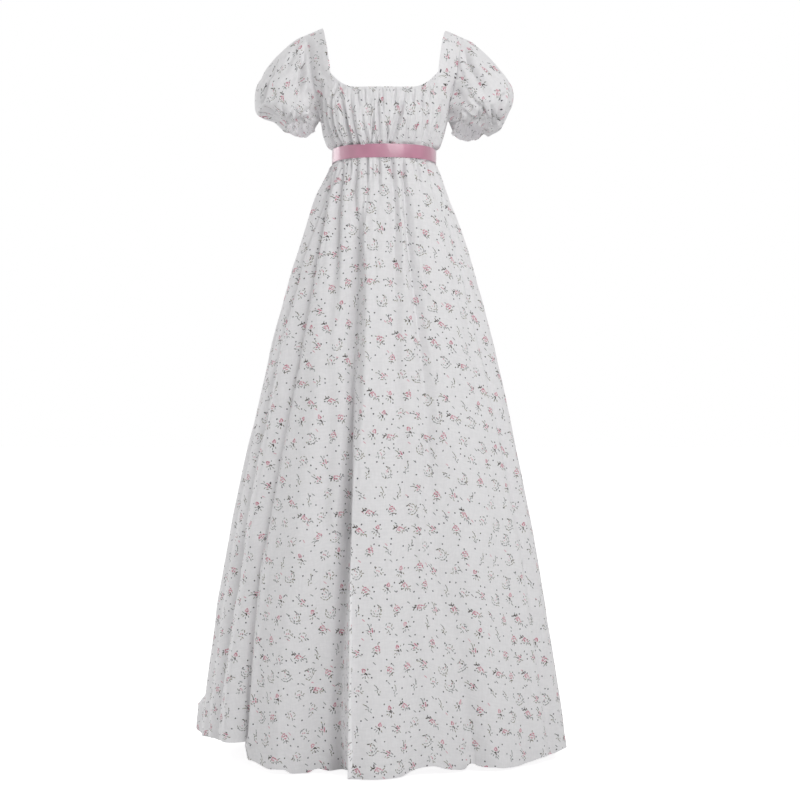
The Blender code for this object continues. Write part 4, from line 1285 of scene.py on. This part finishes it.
def skirt(spec, materials, thread):
    points = skirt_points(spec)
    uv = cone_uv(points) + np.array([spec.shift, 0])
    index = grid(*points.shape[:2])
    faces = grid_quads(index)
    points = points.reshape(-1, 3)
    made, normals = cloth_shell(
        spec.name + "_cloth", points, faces, uv.reshape(-1, 2)[faces], WALL, materials,
        level=index[0], seam=np.concatenate([index[:, 0], index[:, -1]]),
    )
    places = index[HEM_ROWS.index(HEM_FOLD) - len(HEM_ROWS) - 1]
    stitches(spec.name + "_hem_stitches", points[places], normals[places], thread)
    declare(made, spec.name)


# ---------------------------------------------------------------- the bodice
def angle_of(ring, x):
    """The angle at which a section is x from the middle, for the front half."""
    share = np.minimum(np.abs(x) / ring.half_width, 1.0)
    turn = np.degrees(np.arccos(share ** (ring.power / 2)))
    return np.where(x >= 0, turn, 180 - turn)


def strap_edge(share, rise):
    """Half width of the strap at a share of the way across it and up it."""
    inner = NECK_BASE_HALF_WIDTH + (NECK_HALF_WIDTH - NECK_BASE_HALF_WIDTH) * rise
    return inner + share * STRAP_WIDTH


def top_of_columns(spec):
    """Angle at the waist, level and angle at the top of each column, from the right side seam to
    the middle of the neckline."""
    neck = spec.neck
    side = np.arange(SIDE_COLUMNS + 1)
    turn = np.pi / 2 * (1 - side / SIDE_COLUMNS)
    side_level = neck.strap_base + (UNDERARM_Z - neck.strap_base) * np.sin(turn)
    ring = ring_at(BODICE_RINGS, side_level)
    depth = ring.front if spec.facing > 0 else ring.back
    side_top = np.degrees(np.arcsin((spec.armhole * np.cos(turn) / depth) ** (ring.power / 2)))
    side_angle = WAIST_SIDE_ANGLE * side / SIDE_COLUMNS

    share = np.arange(1, STRAP_COLUMNS + 1) / STRAP_COLUMNS
    strap_angle = WAIST_SIDE_ANGLE + share * (WAIST_STRAP_ANGLE - WAIST_SIDE_ANGLE)
    strap_level = neck.strap_base + share * (neck.corner_z - neck.strap_base)
    strap_top = angle_of(ring_at(BODICE_RINGS, strap_level), strap_edge(1 - share, 0))

    share = np.arange(1, spec.neck_columns // 2 + 1) / (spec.neck_columns / 2)
    neck_angle = WAIST_STRAP_ANGLE + share * (90 - WAIST_STRAP_ANGLE)
    half_width = NECK_BASE_HALF_WIDTH * (1 - share)
    rounded = np.maximum(half_width - neck.corner_width, 0)
    rounded /= NECK_BASE_HALF_WIDTH - neck.corner_width
    neck_level = neck.bottom + (neck.corner_z - neck.bottom) * rounded**NECK_CORNER_POWER
    neck_top = angle_of(ring_at(BODICE_RINGS, neck_level), half_width)
    return (
        np.concatenate([side_angle, strap_angle, neck_angle]),
        np.concatenate([side_level, strap_level, neck_level]),
        np.concatenate([side_top, strap_top, neck_top]),
    )


def bodice_relief(spec, across, climb, tall, above):
    """How far the bodice's gathers and sway stand out from its rings, at a share of the way across
    the neckline and up to it. Tall is how far each column's top is from the waist seam."""
    freed = rise_from_ribbon(above)
    turns = spec.gathers * across
    uneven = turns + rippled(BODICE_GATHER_PLACES, turns)
    strength = BODICE_GATHER_MEAN + rippled(BODICE_GATHER_DEPTHS, turns)
    strength = strength * (1 - BODICE_GATHER_HOLD * climb)
    out = spec.gather_depth * inside(across, 9) * strength * gather(uneven, 0.4) * freed
    fine = BODICE_FINE_GATHERS * turns + rippled(BODICE_FINE_PLACES, across, climb)
    depth = BODICE_FINE_DEPTH + rippled(BODICE_FINE_DEPTHS, across, climb)
    depth = depth * (1 - BODICE_FINE_HOLD * climb)
    out = out - depth * inside(across, 30, 3) * freed * hollows(2 * np.pi * fine)
    out = out + rippled(BODICE_SWAY, across, climb) * smooth((1 - climb) * climb * 6)
    under_edge = (1 - climb) * tall
    return out + NECK_ROLL * smooth(1 - np.abs(under_edge - NECK_ROLL_DROP) / NECK_ROLL_DROP)


def bodice_points(spec):
    """Rows of points from the neckline and armholes down to the waist seam."""
    angle, level, top_angle = top_of_columns(spec)
    half = len(angle) - 1
    number = np.arange(2 * half + 1)
    mirrored = np.minimum(number, 2 * half - number)
    angle, level, top_angle = angle[mirrored], level[mirrored], top_angle[mirrored]
    climb = np.linspace(1, 0, BODICE_ROWS + 1)[:, None]
    z = BODICE_FOOT + climb * (level - BODICE_FOOT)
    degrees = angle + climb * (top_angle - angle)
    degrees = spec.facing * np.where(number > half, 180 - degrees, degrees)
    across = (number - SIDE_COLUMNS - STRAP_COLUMNS) / spec.neck_columns
    out = bodice_relief(spec, across, climb, level - BODICE_FOOT, z - WAIST_Z)
    section = ring_at(BODICE_RINGS, z)
    free = risen(z - WAIST_Z, *CREASES_FREE)
    free = free * (1 - NECKLINE_HOLD * risen(climb, *NECKLINE_HELD))
    out = out + BODICE_CREASE * free * creased(spec.lines, on_ring(section, degrees, out))
    points = on_ring(section, degrees, out)
    points[:, 0, 1] = points[:, -1, 1] = -spec.facing * SEAM_GAP / 2
    return points


def strap_places(columns, side):
    """Numbers of the columns that a strap stands on, in the bodice's own order."""
    places = SIDE_COLUMNS + np.arange(STRAP_COLUMNS + 1)
    return places if side > 0 else (columns - 1 - places)[::-1]


def strap_points(spec, strap, base):
    """Rows of one strap's points from the shoulder down, on a base row of the bodice's points."""
    share = (1 - np.arange(STRAP_COLUMNS + 1) / STRAP_COLUMNS)[::strap.side]
    shoulder_z = strap.shoulder_z - SHOULDER_SLOPE * share
    rise = np.linspace(1, 0, STRAP_ROWS + 1)[:-1, None]
    turn = np.pi / 2 * rise
    sway = rippled(strap.sway, share, rise) * smooth(4 * rise * (1 - rise))
    x = strap.side * strap_edge(share, rise)
    y = base[:, 1] * np.cos(turn) + np.sign(base[:, 1]) * sway
    z = base[:, 2] + (shoulder_z - base[:, 2]) * np.sin(turn)
    points = np.stack([x, y, z], axis=-1)
    points[:, :, 1] += np.sign(base[:, 1]) * np.cos(turn) * creased(spec.lines, points)
    points[0, :, 1] = -spec.facing * SEAM_GAP / 2
    return points


def bodice_uv(points, shift):
    """Flat places: across by the length round from the middle, up by the length along columns."""
    arc = travelled(points, 1)
    arc -= arc[:, points.shape[1] // 2][:, None]
    return np.stack([arc + shift, travelled(points[::-1])[::-1]], axis=-1)


def strap_uv(strap, base, base_uv):
    """A strap's flat places, above those of the row that it stands on."""
    climbed = travelled(np.concatenate([strap, base[None]])[::-1])[:0:-1]
    v = base_uv[STRAP_COLUMNS // 2, 1] + climbed.mean(axis=1, keepdims=True) + 0 * climbed
    u = base_uv[:, 0] + (strap[:, :, 0] - base[:, 0])
    return np.stack([u, v], axis=-1)


def bodice(spec, materials, thread):
    """One half of the bodice with its straps; its edges are returned for the sleeves."""
    points = bodice_points(spec)
    uv = bodice_uv(points, spec.shift)
    rows, columns = points.shape[:2]
    index = grid(rows, columns)
    straps = []
    everything, uvs = [points.reshape(-1, 3)], [uv.reshape(-1, 2)]
    faces, seam = [grid_quads(index)], [index[:, 0], index[:, -1]]
    total = index.size
    for kind in STRAPS:
        places = strap_places(columns, kind.side)
        base = points[0, places]
        strap = strap_points(spec, kind, base)
        own = total + grid(*strap.shape[:2])
        total += own.size
        straps.append(strap)
        everything.append(strap.reshape(-1, 3))
        uvs.append(strap_uv(strap, base, uv[0, places]).reshape(-1, 2))
        faces.append(grid_quads(np.concatenate([own, index[:1, places]])))
        seam.append(own[0])
    everything, uvs = np.concatenate(everything), np.concatenate(uvs)
    faces = np.concatenate(faces)[:, ::spec.facing]
    made, normals = cloth_shell(
        spec.name + "_cloth", everything, faces, uvs[faces], WALL, materials,
        level=index[-1], seam=np.concatenate(seam),
    )
    first = SIDE_COLUMNS + STRAP_COLUMNS
    places = index[NECK_STITCH_ROW, first:columns - first]
    stitches(spec.name + "_neckline_stitches", everything[places], normals[places], thread)
    declare(made, spec.name)
    return points, straps


# ---------------------------------------------------------------- the sleeves
def armhole_half(points, straps, side):
    """The armhole's edge on one panel from the shoulder down to under the arm."""
    if side > 0:
        return np.concatenate([straps[0][:, 0], points[0, SIDE_COLUMNS::-1]])
    return np.concatenate([straps[1][:, -1], points[0, -1 - SIDE_COLUMNS:]])


def evenly(path, count):
    """Points at equal steps of a line's length, both ends included."""
    length = travelled(path)
    at = np.linspace(0, length[-1], count)
    return np.stack([np.interp(at, length, path[:, k]) for k in range(3)], axis=-1)


def sleeve_grid(spec, start, turn):
    """Plain rows and columns down the sleeve, from the armhole to the elastic hem."""
    c, s = np.cos(turn), np.sin(turn)
    across = (spec.hem_outer + spec.hem_inner + (spec.hem_outer - spec.hem_inner) * c) / 2
    level = (spec.outer_z + spec.inner_z + (spec.outer_z - spec.inner_z) * c) / 2
    end = np.stack([spec.side * across, -spec.hem_depth * s, level + spec.tilt * s], axis=-1)
    leave = np.stack([
        spec.side * spec.reach * (LEAVE_OUT + LEAVE_OUT_MORE * c),
        -LEAVE_FORWARD * s,
        -spec.slope * (LEAVE_DOWN + LEAVE_DOWN_MORE * c),
    ], axis=-1)
    arrive = np.stack([
        spec.side * spec.reach * ARRIVE_OUT * (1 + c),
        -ARRIVE_FORWARD * s,
        ARRIVE_UP + ARRIVE_UP_MORE * c,
    ], axis=-1)
    u = np.linspace(0, 1, SLEEVE_ROWS + 1)[:, None, None]
    v = 1 - u
    points = v**3 * start + 3 * v * v * u * (start + leave)
    return points + 3 * v * u * u * (end + arrive) + u**3 * end


def eased_in(spec, points):
    """The sleeve's sides drawn in, and its foot raised, by the tables of its outline."""
    edge = along(*zip(*spec.edge[::-1]), points[..., 2] * 1000)
    foot = along(*zip(*spec.foot), np.abs(points[..., 0]) * 1000)
    outer = risen(np.abs(points[..., 0]), *OUTER_SIDE)
    low = risen(-points[..., 2], *LOWER_SIDE)
    points[..., 0] -= spec.side * outer * edge / 1000
    points[..., 2] += low * foot / 1000


def sleeve_relief(spec, plain, normal, turn, row, room):
    """How far a sleeve's gathers, creases and pleats stand out from its plain form."""
    depth = SLEEVE_GATHER_DEPTH * (0.45 + 0.55 * np.abs(2 * row - 1) ** 1.5)
    held = smooth(row / HEAD_HOLD) * smooth((1 - row) / HEM_HOLD)
    out = depth * room * held * gather(SLEEVE_GATHERS * turn / (2 * np.pi), 2.0)
    ahead = plain + out[:, :, None] * normal
    for facing, lines in ((3, spec.lines), (-3, spec.back_lines)):
        out = out + SLEEVE_CREASE * held * smooth(facing * np.sin(turn)) * creased(lines, ahead)
    pleats = hollows(HEM_PLEATS * turn + 1.6 * np.sin(4 * turn + spec.side))
    pleats = pleats * (0.7 + 0.3 * np.sin(7 * turn + 1.9))
    out = out - HEM_PLEAT_DEPTH * pleats * risen(row, *HEM_PLEATS_RISE) * held * room
    head = hollows(HEAD_PLEATS * turn + ripple(turn * 3, 1.3))
    out = out - HEAD_PLEAT_DEPTH * head * (1 - smooth(row / HEAD_PLEATS_END)) * held * room
    return out + rippled(SLEEVE_SWAY, turn, row) * smooth(4 * row * (1 - row)) * room


def sleeve_points(spec, front, back):
    """Rows of points from the armhole down to the frill below the elastic."""
    count = SLEEVE_COLUMNS
    down_front = evenly(armhole_half(*front, spec.side), count // 2 + 1)
    down_back = evenly(armhole_half(*back, spec.side), count // 2 + 1)
    edge = np.concatenate([down_front, down_back[-2:0:-1]])
    turn = 2 * np.pi * np.arange(count) / count
    away = unit(np.array([spec.side, 0, 0]) + unit(edge - edge.mean(axis=0)) / 4)
    plain = sleeve_grid(spec, edge + SLEEVE_CLEARANCE * away, turn)
    across = np.roll(plain, -1, axis=1) - np.roll(plain, 1, axis=1)
    normal = unit(np.cross(across, np.gradient(plain, axis=0))) * spec.side
    row = np.linspace(0, 1, SLEEVE_ROWS + 1)[:, None]
    room = np.minimum(np.linalg.norm(across, axis=2) * GATHER_COLUMNS / SLEEVE_GATHER_ROOM, 1.0)
    out = sleeve_relief(spec, plain, normal, turn, row, room)
    lobes = np.sin(FRILL_WAVES * turn + 1.4 * np.sin(3 * turn + spec.side))
    out = out + FRILL_OUT * risen(row, *FRILL_OUT_RISE) * lobes
    points = plain + (out + seam_dip(row * SLEEVE_LENGTH))[:, :, None] * normal
    waves = lobes + 0.7 * np.sin(5 * turn + 2)
    points[:, :, 2] += FRILL_DOWN * risen(row, *FRILL_DOWN_RISE) * waves
    eased_in(spec, points)
    return points


def sleeve(spec, front, back, materials, thread):
    points = sleeve_points(spec, front, back)
    rows, count = points.shape[:2]
    girth = np.linalg.norm(np.diff(points, axis=1), axis=2).sum(axis=1)[rows // 2]
    reach = np.linalg.norm(np.diff(points, axis=0), axis=2).mean(axis=1)
    u = np.arange(count + 1) / count * girth * spec.side + spec.shift
    v = -np.concatenate([[0], np.cumsum(reach)])
    made, normals = tube(
        spec.name + "_cloth", points, u, v, WALL, materials, turned=spec.side < 0
    )
    casing = grid(rows, count)[CASING_STITCH_ROW]
    places = np.append(casing, casing[0])
    path = points.reshape(-1, 3)[places]
    stitches(spec.name + "_casing_stitches", path, normals[places], thread)
    declare(made, spec.name)


# ---------------------------------------------------------------- the ribbon
def ribbon(material):
    """The satin ribbon round the waist seam, eased a little over the gathers under it."""
    count = RIBBON_COLUMNS
    degrees = 360 * np.arange(count) / count
    share = np.linspace(0, 1, RIBBON_ROWS + 1)[:, None]
    ring = BODICE_RINGS[0]._replace(z=WAIST_Z + RIBBON_HEIGHT * (0.5 - share))
    crown = RIBBON_CROWN * (1 - (2 * share - 1) ** 2)
    eased = RIBBON_EASE * ripple(degrees / 11.0, 0.8)
    eased = eased + RIBBON_WRINKLE * ripple(degrees / 2.9 + share, 2.1)
    out = RIBBON_CLEARANCE + SOLID_RIBBON_WALL + crown + eased * (0.6 + 0.4 * np.cos(3 * share))
    points = on_ring(ring, degrees[None, :] + 0 * share, out)
    steps = np.linalg.norm(np.roll(points, -1, axis=1) - points, axis=2)
    girth = steps.sum(axis=1).mean()
    u = np.arange(count + 1) / count * girth
    v = RIBBON_HEIGHT * (0.5 - share[:, 0])
    made, _ = tube(
        "ribbon_sash_satin", points, u, v, RIBBON_WALL, [material, material], level_rows=(0, -1)
    )
    declare(made, "ribbon_sash")


# ---------------------------------------------------------------- floor, light and camera
FLOOR_HALF = 30.0
FLOOR_Z = HEM_Z - 0.003
FLOOR_GLOW = 0.71
FLOOR_LOW, FLOOR_HIGH = (0.69, 0.69, 0.69, 1), (0.71, 0.71, 0.71, 1)
FLOOR_MOTTLE = (3.0, 4.0)
WHITE = (1, 1, 1, 1)
AMBIENT_BEFORE = 0.36
AMBIENT_BEHIND = 0.92
Panel = namedtuple("Panel", "name power side place aim")
PANELS = (
    Panel("key", 24.0, 1.5, (1.50, -2.20, 1.15), (0.0, 0.0, -0.3)),
    Panel("fill", 15.0, 3.0, (-3.60, -1.60, 0.10), (0.0, 0.0, -0.7)),
    Panel("rim", 24.0, 1.8, (-2.60, 1.90, 0.10), (0.0, 0.0, -0.7)),
    Panel("sheen", 24.0, 1.2, (1.00, -3.20, 0.45), (0.0, 0.0, -0.2)),
)
CAMERA_PLACE = (0.033, -4.70, -0.766)
FOCAL_PIXELS = 2270
PHOTO_SIDE = 800
SENSOR = 36.0


def floor():
    sides = ((-1, -1), (1, -1), (1, 1), (-1, 1))
    corners = np.array([(x * FLOOR_HALF, y * FLOOR_HALF, FLOOR_Z) for x, y in sides])
    material, nodes, shader = new_material("pale_floor")
    mottle = nodes.noise(nodes.node("TexCoord", output=3), *FLOOR_MOTTLE)
    seen = nodes.node("LightPath", output=0)
    nodes.feed(shader, {
        "Base Color": nodes.mix(mottle, FLOOR_LOW, FLOOR_HIGH),
        "Roughness": 0.9,
        "Emission Color": WHITE,
        "Emission Strength": nodes.maths("MULTIPLY", seen, FLOOR_GLOW),
    })
    add_object("floor", corners, [(0, 1, 2, 3)], [material])


def world():
    """A white studio, which the camera sees plain white: it is brighter behind the gown, where its
    pale backdrop is, than before it."""
    made = bpy.data.worlds.new("studio")
    made.use_nodes = True
    nodes = Nodes(made.node_tree)
    seen = nodes.node("LightPath", output=0)
    parts = nodes.parts(nodes.node("TexCoord", output=0))
    around = nodes.ramp(parts[1], -0.5, 0.5, AMBIENT_BEFORE, AMBIENT_BEHIND)
    strength = nodes.maths("MAXIMUM", around, seen)
    nodes.feed(made.node_tree.nodes["Background"], {"Color": WHITE, "Strength": strength})
    bpy.context.scene.world = made


def panels():
    """Square soft lights, each aimed at a place on the gown."""
    for panel in PANELS:
        data = bpy.data.lights.new(panel.name, "AREA")
        data.energy = panel.power
        data.size = panel.side
        made = placed(panel.name, data)
        made.location = panel.place
        way = Vector(panel.aim) - Vector(panel.place)
        made.rotation_euler = way.to_track_quat("-Z", "Y").to_euler()


def camera():
    data = bpy.data.cameras.new("camera")
    data.sensor_width = SENSOR
    data.lens = FOCAL_PIXELS / PHOTO_SIDE * SENSOR
    made = placed("camera", data)
    made.location = CAMERA_PLACE
    made.rotation_euler = (math.radians(90), 0, 0)
    bpy.context.scene.camera = made


def main():
    cotton = [
        printed_cotton("printed_cotton_right_side", 1.0, 0.0),
        # The wrong side glows a little: painted light standing in for light through the cloth
        printed_cotton("printed_cotton_wrong_side", WRONG_SIDE_INK, PAINTED_GLOW_THROUGH),
    ]
    thread = sewing_thread()
    for spec in SKIRTS:
        skirt(spec, cotton, thread)
    front, back = [bodice(spec, cotton, thread) for spec in BODICES]
    for spec in SLEEVES:
        sleeve(spec, front, back, cotton, thread)
    ribbon(pink_satin())
    floor()
    world()
    panels()
    camera()
    bpy.context.scene.view_settings.view_transform = "Standard"


main()
